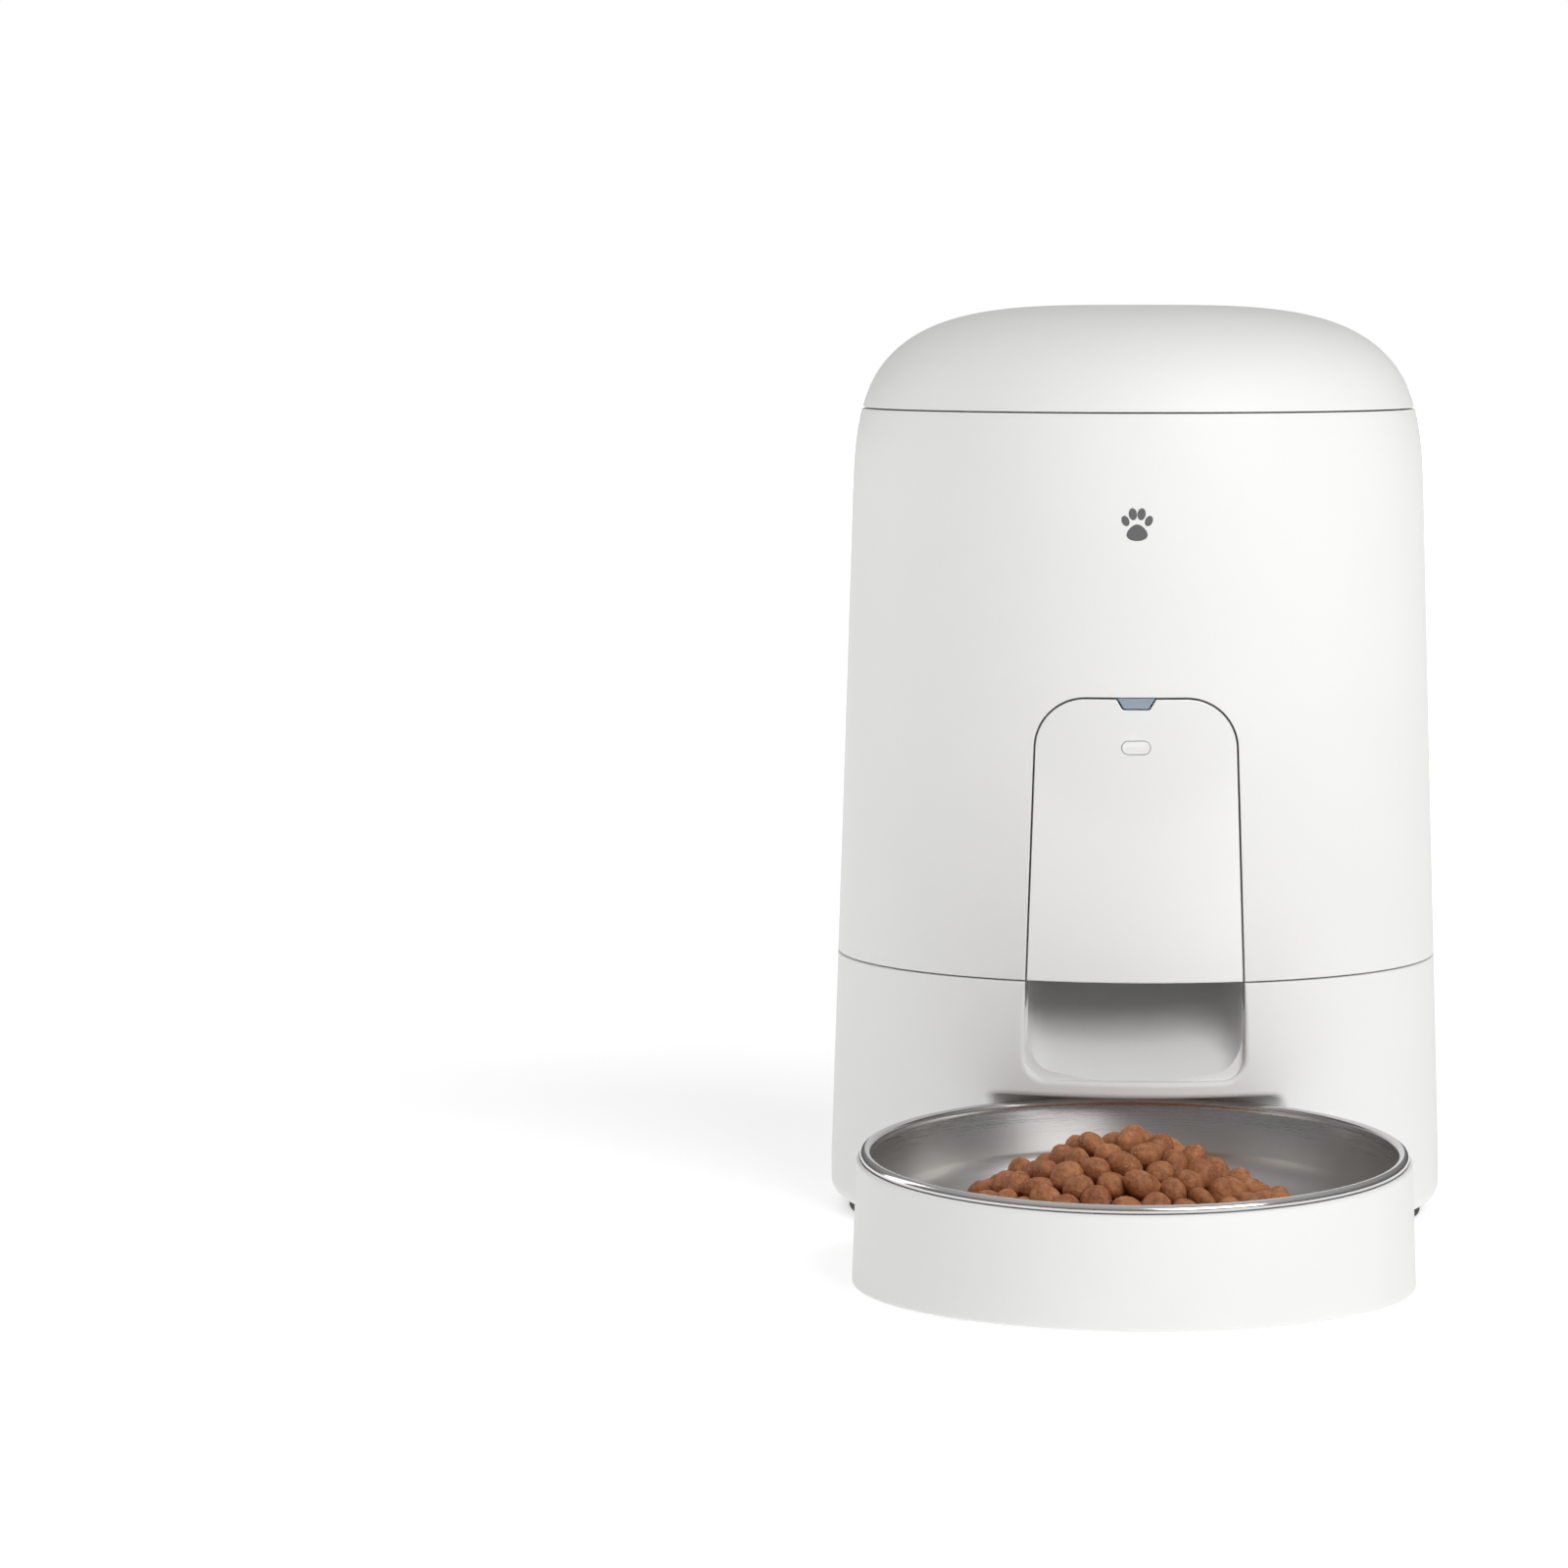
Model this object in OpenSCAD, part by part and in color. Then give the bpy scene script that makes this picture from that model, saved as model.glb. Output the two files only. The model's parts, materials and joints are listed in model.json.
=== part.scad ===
// Automatic pet feeder. A tapered round body stands on a rubber ring. A lift-off lid closes a
// food hopper, a motor and three gear stages turn a portioning rotor at its foot, and food slides
// down a chute behind a clip-on cover into a steel bowl, which sits in a pull-out tray.
// Millimetres, +Z up, front towards -Y. The origin is on the body's axis, on the table.

/* [Body] */
// Diameter of the base where it is widest
body_d = 170; // [165:1:210]
// Height from the table to the top of the lid
body_h = 252; // [240:1:310]
// Radius lost per millimetre of height
body_taper = 0.031; // [0.02:0.001:0.035]
// Wall of the moulded shells
shell_wall = 2.4; // [2:0.1:3]
// Rounding of the base's bottom edge
base_edge_r = 5; // [4:0.5:7]
// Height of the rubber ring below the base
foot_h = 3; // [2:0.5:5]
// Gap at the visible seams
seam_gap = 0.4; // [0.3:0.1:0.8]

/* [Lid] */
// Height of the lid above its seam
lid_h = 28.4; // [24:0.1:36]
// Height over which the body closes to its top
dome_h = 57; // [50:1:70]
// Squareness of the dome: 2 is an ellipse, more is boxier
dome_power = 3.6; // [2.5:0.1:4.5]
// Outside diameter of the desiccant cup under the lid
desiccant_d = 52; // [40:1:70]

/* [Bowl and tray] */
// Diameter of the tray at the table
tray_d = 145.2; // [120:0.1:180]
// Height of the middle of the bowl's rim above the table
rim_h = 34.4; // [30:0.1:42]
// Slope of the rim, lower at the front
bowl_tilt = 3.2; // [0:0.1:5]
// How far the tray reaches in under the body
tray_tuck = 21.6; // [15:0.1:30]
// Depth of the steel bowl below its rim
bowl_depth = 25; // [18:0.5:26]
// Radius of the rolled lip of the bowl
lip_r = 1.45; // [1:0.05:2]
// Wall of the tray
tray_wall = 2.2; // [1.8:0.1:3]
// Sheet thickness of the bowl
bowl_wall = 0.8; // [0.6:0.1:1.2]
// Gap between the tray and the recess it slides into
recess_gap = 1.2; // [0.8:0.1:2]

/* [Chute and cover] */
// Width of the food outlet
mouth_w = 58.6; // [45:0.1:66]
// Height of the food outlet, from its lip to the seam
mouth_h = 26.2; // [22:0.1:32]
// Corner radius of the outlet and its chute
mouth_corner_r = 6; // [4:0.5:9]
// Wall between the tray recess and the outlet
bridge_h = 4.5; // [3:0.1:7]
// Height of the front cover above the seam
cover_h = 76.2; // [66:0.1:92]
// Width of the front cover's opening near its top
cover_top_w = 54.6; // [42:0.1:62]
// Corner radius at the top of the cover's opening
cover_corner_r = 14; // [8:0.5:16]
// Gap around the cover
cover_gap = 0.5; // [0.4:0.1:0.8]
// Thickness of the cover
cover_wall = 2.2; // [1.8:0.1:3]
// Width of the status lens at the cover's top edge
lens_top_w = 10; // [7:0.1:13]
// Width of the status lens at its lower edge
lens_bottom_w = 7.8; // [5:0.1:11]
// Height of the status lens
lens_h = 3; // [2:0.1:4.5]
// Width of the feed key
key_w = 7.3; // [6:0.1:10]
// Height of the feed key
key_h = 3.3; // [2.5:0.1:5]
// Drop from the top of the cover to the middle of the key
key_drop = 13.3; // [9:0.1:20]
// Travel of the feed key
key_travel = 0.8; // [0.5:0.1:1]

/* [Rotor and hopper] */
// Radius of the rotor's vanes
rotor_r = 40.2; // [34:0.1:46]
// Height of the rotor
rotor_h = 14; // [10:0.5:20]
// Number of vanes on the rotor
vane_count = 6; // [4:1:8]
// Wall of the hopper
hopper_wall = 1.8; // [1.5:0.1:2.5]
// Height of the funnel between the rotor's well and the hopper's side
funnel_h = 46; // [40:1:60]

/* [Drive] */
// Gear module
gear_module = 1; // [0.8:0.1:1.2]
// Teeth on each wheel
wheel_teeth = 36; // [30:1:42]
// Teeth on each pinion
pinion_teeth = 12; // [12:1:14]
// Tooth width of each stage
stage_h = 4; // [3:0.5:5]
// Diameter of the motor
motor_d = 24.4; // [20:0.1:28]
// Length of the motor's can
motor_l = 17; // [12:0.5:18]
// Diameter of the shaft that turns the rotor
shaft_d = 6; // [5:0.1:7]

/* [Battery] */
// Diameter of one cell
cell_d = 34.2; // [26:0.1:34.2]
// Length of one cell
cell_l = 61.5; // [50:0.1:61.5]
// Number of cells side by side
cell_count = 3; // [2:1:3]

/* [Hidden] */
$fn = 96;
eps = 0.01;

// Body outline
widest_z = foot_h + base_edge_r + 6;
dome_z = body_h - dome_h;
lid_seam_z = body_h - lid_h;
housing_top_z = lid_seam_z - seam_gap / 2;
lid_z = lid_seam_z + seam_gap / 2;

// Tray and bowl: the rim is a tilted circle, and everything under it follows
tray_r = tray_d / 2;
tray_draft = 1.1;
tray_floor_z = 1;
tray_top_r = tray_r - tray_draft;
bowl_y = -(body_d / 2 + tray_r - tray_tuck);
lip_center_r = tray_top_r - 2.35;
lip_gap = 0.3;
rim_back_z = rim_h + tray_top_r * sin(bowl_tilt) + lip_r;
recess_r = tray_r + recess_gap;
recess_top_z = rim_back_z + 1.5;
recess_wall = 2;

// Heights up the body, each from the one below
mouth_z = recess_top_z + bridge_h;
seam_z = mouth_z + mouth_h;
deck_wall = 2;
deck_z = seam_z - 9;
gearbox_z = deck_z + deck_wall;
case_wall = 2;
gear_gap = 0.5;
gear_z = [for (i = [0:2]) gearbox_z + case_wall + 1 + i * (stage_h + gear_gap)];
gearbox_top_z = gear_z[2] + stage_h + 1;
well_floor_z = gearbox_top_z + case_wall + 14.5;
well_r = rotor_r + 0.8;
rotor_z = well_floor_z + 0.4;
funnel_z = rotor_z + rotor_h + 0.6;
hopper_top_z = housing_top_z - 2.4;
hopper_lip_h = 2;
hopper_lip_w = 1.7;
hopper_r = outline_radius(hopper_top_z, shell_wall) - 0.5 - hopper_lip_w;
cover_top_z = seam_z + cover_h;

// Cover pocket: how far its floor lies behind the body's surface
pocket_depth = 5;
pocket_wall = 2;

// Outlet in the hopper's floor
outlet_half_angle = 32;
outlet_inner_r = 17;
outlet_outer_r = well_r - 1;

// Chute: a straight U-channel from under the outlet to the lip of the mouth
chute_wall = 2;
chute_w = mouth_w - 1.4;
chute_lip_y = -(body_radius(mouth_z) - shell_wall - 0.4);
chute_back_y = -outlet_inner_r * cos(outlet_half_angle) + 1;
chute_top_z = well_floor_z - 2 - 0.3;
chute_slope = atan((chute_top_z - mouth_z) / (chute_back_y - chute_lip_y));

// Gear train: output wheel on the axis, then two compound gears, then the motor's pinion
gear_distance = gear_module * (wheel_teeth + pinion_teeth) / 2;
train_angles = [160, 195, 250];
gear_o = [0, 0];
gear_b_at = polar(gear_distance, train_angles[0]);
gear_a_at = gear_b_at + polar(gear_distance, train_angles[1]);
motor_at = gear_a_at + polar(gear_distance, train_angles[2]);
turn_b = mesh_angle(train_angles[0], 0);
turn_a = mesh_angle(train_angles[1], turn_b);
turn_m = mesh_angle(train_angles[2], turn_a);
axle_r = 1.5;
motor_shaft_r = 1;
bush_r = shaft_d / 2 + 1.5;
run_gap = 0.05;

// Battery bay under the deck
bay_wall = 1.6;
bay_in = [cell_count * cell_d + 2, cell_l + 6, cell_d + 0.8];
bay_y = 18;
plate_t = 2.4;
plate_top_z = foot_h + plate_t;
plate_r = body_radius(widest_z) - base_edge_r - 6;
door = [bay_in[0] - 4, bay_in[1] - 2];
door_t = 2;
door_gap = 0.4;
hinge_r = 1.6;
hinge_y = bay_y - door[1] / 2 + hinge_r;
hinge_z = foot_h + hinge_r;
door_pin_r = 0.8;

// Screws and their posts, as [x, y]
screw_r = 1.3;
post_r = 4;
post_out_r = plate_r - 5.5;
base_posts = [for (a = [8, 172, 67, 113, 225, 315]) polar(post_out_r + 3, a)];
deck_posts = [for (i = [0:3]) base_posts[i]];
upper_posts = [for (a = [-32, 212, 42, 138]) polar(post_out_r + 3, a)];
lid_posts = [for (a = [30, 150, 270]) polar(48, a)];
case_r = gear_module * wheel_teeth / 2 + 2.6;
case_posts = [polar(case_r + 3.4, 55), polar(case_r + 3.4, -50),
    gear_a_at + polar(case_r + 3.4, 105), motor_at + polar(12.4, -10)];

// Functions

// Radius of the straight tapered side at height z
function body_radius(z) = body_d / 2 - body_taper * (z - widest_z);

// Radius of the body's whole outline at height z, dome included, inset from the outside
function outline_radius(z, inset) = z <= dome_z ? body_radius(z) - inset
    : (body_radius(z) - inset)
        * pow(1 - pow((z - dome_z) / (body_h - inset - dome_z), dome_power), 1 / dome_power);

function polar(r, a) = [r * cos(a), r * sin(a)];

function arc(c, r, a1, a2, n = 8) = [for (i = [0:n]) c + polar(r, a1 + (a2 - a1) * i / n)];

// A point on the dome's superellipse, inset from the outside
function dome_point(a, inset) =
    let (z = dome_z + (body_h - inset - dome_z) * pow(sin(a), 2 / dome_power))
    [(body_radius(z) - inset) * pow(cos(a), 2 / dome_power), z];

// The dome's parameter at height z
function dome_angle(z, inset) = asin(pow((z - dome_z) / (body_h - inset - dome_z), dome_power / 2));

// A rectangle with rounded lower corners, and square upper ones
function u_points(w, z1, z2, r) = concat(
    arc([-w / 2 + r, z1 + r], r, 180, 270),
    arc([w / 2 - r, z1 + r], r, 270, 360),
    [[w / 2, z2], [-w / 2, z2]]);

// The cover's arch, wider at its foot, grown outwards by g
function arch_points(g) = concat(
    [[-mouth_w / 2 - g, seam_z - 10], [mouth_w / 2 + g, seam_z - 10], [mouth_w / 2 + g, seam_z]],
    arc([cover_top_w / 2 - cover_corner_r, cover_top_z - cover_corner_r],
        cover_corner_r + g, 0, 90),
    arc([-cover_top_w / 2 + cover_corner_r, cover_top_z - cover_corner_r],
        cover_corner_r + g, 90, 180),
    [[-mouth_w / 2 - g, seam_z]]);

// A pill w by h round the origin
function pill_points(w, h) = concat(
    arc([w / 2 - h / 2, 0], h / 2, -90, 90), arc([-w / 2 + h / 2, 0], h / 2, 90, 270));

// Turn that brings the next gear's pinion into mesh with a wheel turned by `turn`
function mesh_angle(direction, turn) =
    direction + 180 + (direction - turn) * wheel_teeth / pinion_teeth - 180 / pinion_teeth;

function involute(rb, t) = [rb * (cos(t) + t * PI / 180 * sin(t)), rb * (sin(t) - t * PI / 180 * cos(t))];

// Angle of the involute where it reaches radius r
function roll(rb, r) = r <= rb ? 0 : sqrt(pow(r / rb, 2) - 1) * 180 / PI;

function turned(p, a) = [p[0] * cos(a) - p[1] * sin(a), p[0] * sin(a) + p[1] * cos(a)];

// Outline of one stub tooth, centred on +X, for a gear of n teeth at 20 degrees
function tooth_points(n) =
    let (r = gear_module * n / 2, rb = r * cos(20), tip = r + 0.8 * gear_module,
         root = r - gear_module, backlash = 0.12, t_pitch = roll(rb, r),
         lean = t_pitch - atan(t_pitch * PI / 180),
         half = 90 / n - backlash / r * 90 / PI,
         flank = concat([polar(root, -half - lean)],
             [for (i = [0:5]) turned(involute(rb, roll(rb, max(rb, root)) +
                 (roll(rb, tip) - roll(rb, max(rb, root))) * i / 5), -half - lean)]))
    concat(flank, [for (i = [len(flank) - 1:-1:0]) [flank[i][0], -flank[i][1]]]);

function gear_points(n) = [for (k = [0:n - 1]) for (p = tooth_points(n)) turned(p, k * 360 / n)];

// General shapes

module ring(r1, r2, z1, z2) {
    difference() {
        translate([0, 0, z1]) cylinder(r = r2, h = z2 - z1);
        translate([0, 0, z1 - 1]) cylinder(r = r1, h = z2 - z1 + 2);
    }
}

module box(x, y, z) {
    translate([x[0], y[0], z[0]]) cube([x[1] - x[0], y[1] - y[0], z[1] - z[0]]);
}

// Runs an outline drawn in X and Z forward from the axis
module front_prism(points, depth = 120) {
    rotate([90, 0, 0]) linear_extrude(depth) polygon(points);
}

module at(points) {
    for (p = points) translate([p[0], p[1], 0]) children();
}

// Everything inside the body's side between two heights, inset from the outside
module side_solid(z1, z2, inset = 0) {
    steps = 10;
    a2 = z2 > dome_z ? dome_angle(min(z2, body_h - inset), inset) : 0;
    top = z2 > dome_z
        ? [for (i = [0:steps]) dome_point(a2 * i / steps, inset)]
        : [[body_radius(z2) - inset, z2]];
    rotate_extrude() polygon(concat([[0, z1], [body_radius(z1) - inset, z1]], top, [[0, z2]]));
}

module side_shell(z1, z2, outer, inner) {
    difference() {
        side_solid(z1, z2, outer);
        side_solid(z1 - 1, z2 + 1, inner);
    }
}

// The lid's dome, or its inside
module dome_solid(z1, inset = 0) {
    steps = 18;
    a1 = dome_angle(z1, inset);
    points = [for (i = [0:steps]) dome_point(a1 + (90 - a1) * i / steps, inset)];
    rotate_extrude() polygon(concat([[0, z1]], points));
}

// The base with its rounded bottom edge
module base_solid(inset = 0) {
    edge = [body_radius(widest_z) - base_edge_r, foot_h + base_edge_r];
    rotate_extrude() polygon(concat(
        [[0, foot_h + inset]], arc(edge, base_edge_r - inset, -90, 0),
        [[body_radius(seam_z) - inset, seam_z - seam_gap / 2], [0, seam_z - seam_gap / 2]]));
}

// A screw post, and from rib_z up a rib that ties it to the wall
module post(p, z1, z2, rib_z) {
    out = norm(p);
    intersection() {
        union() {
            translate([p[0], p[1], z1]) cylinder(r = post_r, h = z2 - z1);
            rotate([0, 0, atan2(p[1], p[0])]) box([out, out + 20], [-1, 1], [rib_z, z2 - 0.5]);
        }
        cylinder(r = body_radius(z2) - shell_wall / 2, h = body_h);
    }
}

// A pan-head screw whose head stands on z, pointing up (1) or down (-1)
module screw(z, length, dir = 1) {
    translate([0, 0, z]) mirror([0, 0, dir > 0 ? 0 : 1]) {
        translate([0, 0, -1.4]) cylinder(r = 2.5, h = 1.4);
        cylinder(r = screw_r, h = length);
    }
}

module gear(n, z) {
    translate([0, 0, z]) linear_extrude(stage_h) polygon(gear_points(n));
}

// The bowl's own frame: its middle on the rim's plane, tilted down to the front
module bowl_frame() {
    translate([0, bowl_y, rim_h]) rotate([bowl_tilt, 0, 0]) children();
}

// The space the tray slides into
module tray_recess(grow = 0) {
    translate([0, bowl_y, -1]) cylinder(r = recess_r + grow, h = recess_top_z + grow + 1);
}

// Body

module base_housing() {
    color("whitesmoke") difference() {
        union() {
            difference() {
                base_solid();
                base_solid(shell_wall);
                translate([0, 0, foot_h - 1]) cylinder(r = plate_r + 0.3, h = shell_wall + 2);
            }
            for (p = base_posts) post(p, plate_top_z + 0.2, deck_z - 0.1, plate_top_z + 1);
        }
        tray_recess();
        front_prism(u_points(mouth_w, mouth_z, seam_z + 1, mouth_corner_r));
        ring(plate_r + 1.4, plate_r + 6.1, foot_h - 1, foot_h + 1.05);
        at(base_posts) cylinder(r = screw_r + run_gap, h = deck_z);
        translate([0, body_d / 2, socket_z]) rotate([90, 0, 0])
            translate([0, 0, -1]) linear_extrude(12) polygon(pill_points(10.6, 4.6));
    }
}

// Wall and roof of the recess that the tray slides into
module tray_dock() {
    color("whitesmoke") difference() {
        intersection() {
            base_solid(shell_wall + 0.05);
            tray_recess(recess_wall);
        }
        tray_recess();
    }
}

module bottom_plate() {
    color("gainsboro") difference() {
        union() {
            translate([0, 0, foot_h]) cylinder(r = plate_r, h = plate_t);
            for (s = [-1, 1]) box([s * door[0] / 2 - 2.4 + s * 3, s * door[0] / 2 + 2.4 + s * 3],
                [hinge_y - 3, hinge_y + 3], [foot_h, hinge_z + 2.2]);
            for (s = [-1, 1]) box([s * 7 - 1.5, s * 7 + 1.5], [plate_r - 10, plate_r - 3],
                [foot_h, socket_z - 3.2]);
        }
        tray_recess(recess_wall + 0.4);
        box([-door[0] / 2 - door_gap, door[0] / 2 + door_gap],
            [bay_y - door[1] / 2 - door_gap, bay_y + door[1] / 2 + door_gap], [-1, plate_top_z + 9]);
        translate([-body_d / 2, hinge_y, hinge_z]) rotate([0, 90, 0])
            cylinder(r = door_pin_r + run_gap, h = body_d);
        at(base_posts) cylinder(r = screw_r + 0.3, h = plate_top_z + 1);
        at(base_posts) cylinder(r = 3, h = foot_h + 1.4);
    }
}

module foot_ring() {
    color("#222222") difference() {
        ring(plate_r + 1.5, plate_r + 6, 0, foot_h + 1);
        tray_recess(0.8);
    }
}

module bottom_screws() {
    color("silver") at(base_posts) screw(foot_h + 1.4, 10);
}

module upper_housing() {
    color("whitesmoke") difference() {
        union() {
            side_shell(seam_z + seam_gap / 2, housing_top_z, 0, shell_wall);
            ring(body_radius(seam_z) - shell_wall - 2.2, body_radius(seam_z) - shell_wall - 0.3,
                seam_z - 6, seam_z + 4);
            side_shell(seam_z + seam_gap / 2, seam_z + 4, shell_wall / 2, shell_wall + 2);
            difference() {
                side_solid(hopper_top_z - hopper_lip_h - 3, hopper_top_z - hopper_lip_h,
                    shell_wall / 2);
                cylinder(r = hopper_r + 0.4, h = body_h);
            }
            for (p = upper_posts) post(p, gearbox_z + 0.1, seam_z + 22, seam_z + 1);
        }
        front_prism(arch_points(0));
        front_prism([[-mouth_w / 2 - 3, seam_z - 20], [mouth_w / 2 + 3, seam_z - 20],
            [mouth_w / 2 + 3, seam_z + seam_gap / 2], [-mouth_w / 2 - 3, seam_z + seam_gap / 2]]);
        at(upper_posts) cylinder(r = screw_r + run_gap, h = seam_z + 14);
    }
}

// Moulding behind the arched opening: it seats the front cover and its snap pegs
module cover_frame() {
    color("whitesmoke") difference() {
        intersection() {
            side_shell(seam_z + 1, cover_top_z + pocket_wall, shell_wall + 0.05,
                pocket_depth + pocket_wall);
            front_prism(arch_points(pocket_wall));
        }
        difference() {
            front_prism(arch_points(0));
            side_solid(seam_z - 20, cover_top_z + 20, pocket_depth);
        }
        box([-chute_w / 2, chute_w / 2], [-body_d / 2, -30], [seam_z - 1, chute_top_z - 2]);
        for (s = [-1, 1], z = clip_heights)
            front_prism([for (p = pill_points(5.6, 3)) p + [s * clip_x, z]]);
        translate([0, 0, cover_top_z - key_drop]) front_prism(pill_points(9, 9));
        lens_prism(0.15);
    }
}

clip_x = cover_top_w / 2 - 8;
clip_heights = [chute_top_z + 2.5, cover_top_z - cover_corner_r - 6];
socket_z = plate_top_z + 8;

module deck() {
    color("lightsteelblue") difference() {
        translate([0, 0, deck_z])
            cylinder(r = body_radius(seam_z) - shell_wall - 2.6, h = deck_wall);
        box([-chute_w / 2 - 3.2, chute_w / 2 + 3.2], [-body_d, chute_lip_y + 38], [0, body_h]);
        at(upper_posts) cylinder(r = screw_r + 0.3, h = body_h);
        at(deck_posts) cylinder(r = screw_r + 0.3, h = body_h);
        at([motor_at]) cylinder(r = 3.4, h = body_h);
        at(case_posts) cylinder(r = screw_r + run_gap, h = body_h);
        translate([46, 34, 0]) cylinder(r = 6, h = body_h);
    }
}

module deck_screws() {
    color("silver") at(deck_posts) screw(deck_z + deck_wall, 12, -1);
}

module housing_screws() {
    color("silver") at(upper_posts) screw(deck_z, 14);
}

// Hopper and lid

module hopper() {
    wide = hopper_r;
    thin = hopper_wall;
    color("#f2f2ee") difference() {
        union() {
            rotate_extrude() polygon([
                [bush_r + 0.2, well_floor_z - 2], [well_r + thin, well_floor_z - 2],
                [well_r + thin, funnel_z], [wide, funnel_z + funnel_h],
                [wide, hopper_top_z - hopper_lip_h], [wide + hopper_lip_w, hopper_top_z - hopper_lip_h],
                [wide + hopper_lip_w, hopper_top_z], [wide - thin, hopper_top_z],
                [wide - thin, funnel_z + funnel_h + 1], [well_r, funnel_z + 0.6],
                [well_r, well_floor_z], [bush_r + 0.2, well_floor_z]]);
            rotate([0, 0, -90 - outlet_half_angle - 8]) rotate_extrude(angle = 2 * outlet_half_angle + 16)
                translate([14, funnel_z + 0.4]) square([well_r - 12, 1.6]);
        }
        rotate([0, 0, -90 - outlet_half_angle]) rotate_extrude(angle = 2 * outlet_half_angle)
            translate([outlet_inner_r, well_floor_z - 3]) square([outlet_outer_r - outlet_inner_r, 4]);
    }
}

module lid_shell() {
    color("whitesmoke") {
        difference() {
            dome_solid(lid_z);
            dome_solid(lid_z - eps, shell_wall);
        }
        intersection() {
            at(lid_posts) ring(screw_r + run_gap, post_r, lid_z + 3, body_h);
            dome_solid(lid_z, shell_wall / 2);
        }
    }
}

liner_r = outline_radius(lid_z + 2.8, shell_wall) - 0.5;
plug_r = hopper_r - hopper_wall - 3.4;
plug_z = hopper_top_z - 10;
cup_z = hopper_top_z - 11;

module lid_liner() {
    color("gainsboro") difference() {
        union() {
            translate([0, 0, hopper_top_z + 0.5])
                cylinder(r = liner_r, h = lid_z + 2.8 - hopper_top_z - 0.5);
            ring(plug_r - 2, plug_r, plug_z, hopper_top_z + 1);
            ring(plug_r - 1, plug_r + 1.4, plug_z, plug_z + 1.6);
            ring(plug_r - 1, plug_r + 1.4, plug_z + 5.4, plug_z + 7);
            ring(desiccant_d / 2 - 1.6, desiccant_d / 2, cup_z, hopper_top_z + 1);
        }
        ring(desiccant_d / 2 + 4, plug_r - 4, lid_z - eps, lid_z + 4);
        at(lid_posts) cylinder(r = screw_r + 0.3, h = body_h);
    }
}

module lid_seal() {
    color("#cfd6da") ring(plug_r + 0.1, hopper_r - hopper_wall - 0.3, plug_z + 1.7, plug_z + 5.3);
}

module lid_screws() {
    color("silver") at(lid_posts) screw(hopper_top_z + 0.5, 12);
}

module desiccant_bag() {
    color("ivory") translate([0, 0, cup_z + 3.4])
        cylinder(r = desiccant_d / 2 - 3, h = hopper_top_z - cup_z - 3.4);
}

module desiccant_cap() {
    color("gainsboro") difference() {
        union() {
            translate([0, 0, cup_z + 0.6]) cylinder(r = desiccant_d / 2 - 2.1, h = 2);
            box([-1.2, 1.2], [-desiccant_d / 2 + 6, desiccant_d / 2 - 6], [cup_z - 2.6, cup_z + 1]);
        }
        for (s = [-1, 1], i = [0:3]) translate([s * (5 + 3.6 * i), 0, 0])
            box([-0.8, 0.8], [-12 + 2 * i, 12 - 2 * i], [cup_z, cup_z + 4]);
    }
}

// Chute and cover

// The inclined channel, grown outwards by g
module channel(g) {
    translate([0, chute_lip_y, mouth_z]) rotate([90 + chute_slope, 0, 0])
        translate([0, 0, -120]) linear_extrude(170)
            polygon(u_points(chute_w + 2 * g, -g, 120, mouth_corner_r + g));
}

module chute() {
    color("#ececea") difference() {
        intersection() {
            channel(chute_wall);
            box([-body_d, body_d], [-body_d, chute_back_y + 2.4],
                [recess_top_z + recess_wall + 0.2, chute_top_z]);
            union() {
                side_solid(mouth_z - 6, seam_z - 7, shell_wall + 0.3);
                side_solid(seam_z - 8, chute_top_z, pocket_depth + pocket_wall + 0.4);
            }
        }
        channel(0);
    }
}

// The status lens fills a notch in the cover's top edge, narrower below, with its corners cut off
module lens_prism(gap) {
    top = cover_top_z - 0.2 + gap;
    low = cover_top_z - lens_h - gap;
    wide = lens_top_w / 2 + gap;
    narrow = lens_bottom_w / 2 + gap;
    right = [[narrow - 0.7, low], [narrow + 0.1, low + 0.7], [wide, top]];
    left = [[-wide, top], [-narrow - 0.1, low + 0.7], [0.7 - narrow, low]];
    front_prism(concat(right, left));
}

module front_cover() {
    color("white") difference() {
        union() {
            intersection() {
                side_shell(seam_z + seam_gap / 2, cover_top_z + 5, 0, cover_wall);
                front_prism(arch_points(-cover_gap));
            }
            for (s = [-1, 1], z = clip_heights) intersection() {
                front_prism([for (p = pill_points(4.6, 2)) p + [s * clip_x, z]]);
                side_shell(seam_z, cover_top_z, cover_wall / 2, pocket_depth + pocket_wall + 1.5);
            }
        }
        lens_prism(0.3);
        translate([0, 0, cover_top_z - key_drop])
            front_prism(pill_points(key_w + 0.5, key_h + 0.5));
    }
}

module feed_key() {
    back = body_radius(cover_top_z) - cover_wall;
    color("white") {
        intersection() {
            side_shell(seam_z, cover_top_z + 5, 0, cover_wall + 1);
            translate([0, 0, cover_top_z - key_drop]) front_prism(pill_points(key_w, key_h));
        }
        translate([0, -back + 1.6, cover_top_z - key_drop]) rotate([90, 0, 0])
            linear_extrude(1) polygon(pill_points(key_w - 0.4, key_h - 0.4));
        translate([0, switch_y, cover_top_z - key_drop]) rotate([90, 0, 0])
            cylinder(r = 1.1, h = back - 1.6 + switch_y);
    }
}

board_y = -(body_radius(cover_top_z) - pocket_depth - pocket_wall - 2.8);
switch_y = board_y - 4.6 - key_travel - 0.2;

module status_lens() {
    color("lightblue", 0.8) intersection() {
        lens_prism(0);
        side_shell(seam_z, cover_top_z + 8, 0.2, pocket_depth + pocket_wall + 1);
    }
}

module front_board() {
    color("darkgreen") box([-13, 13], [board_y, board_y + 1.2],
        [cover_top_z - key_drop - 8, cover_top_z + 1]);
}

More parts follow.
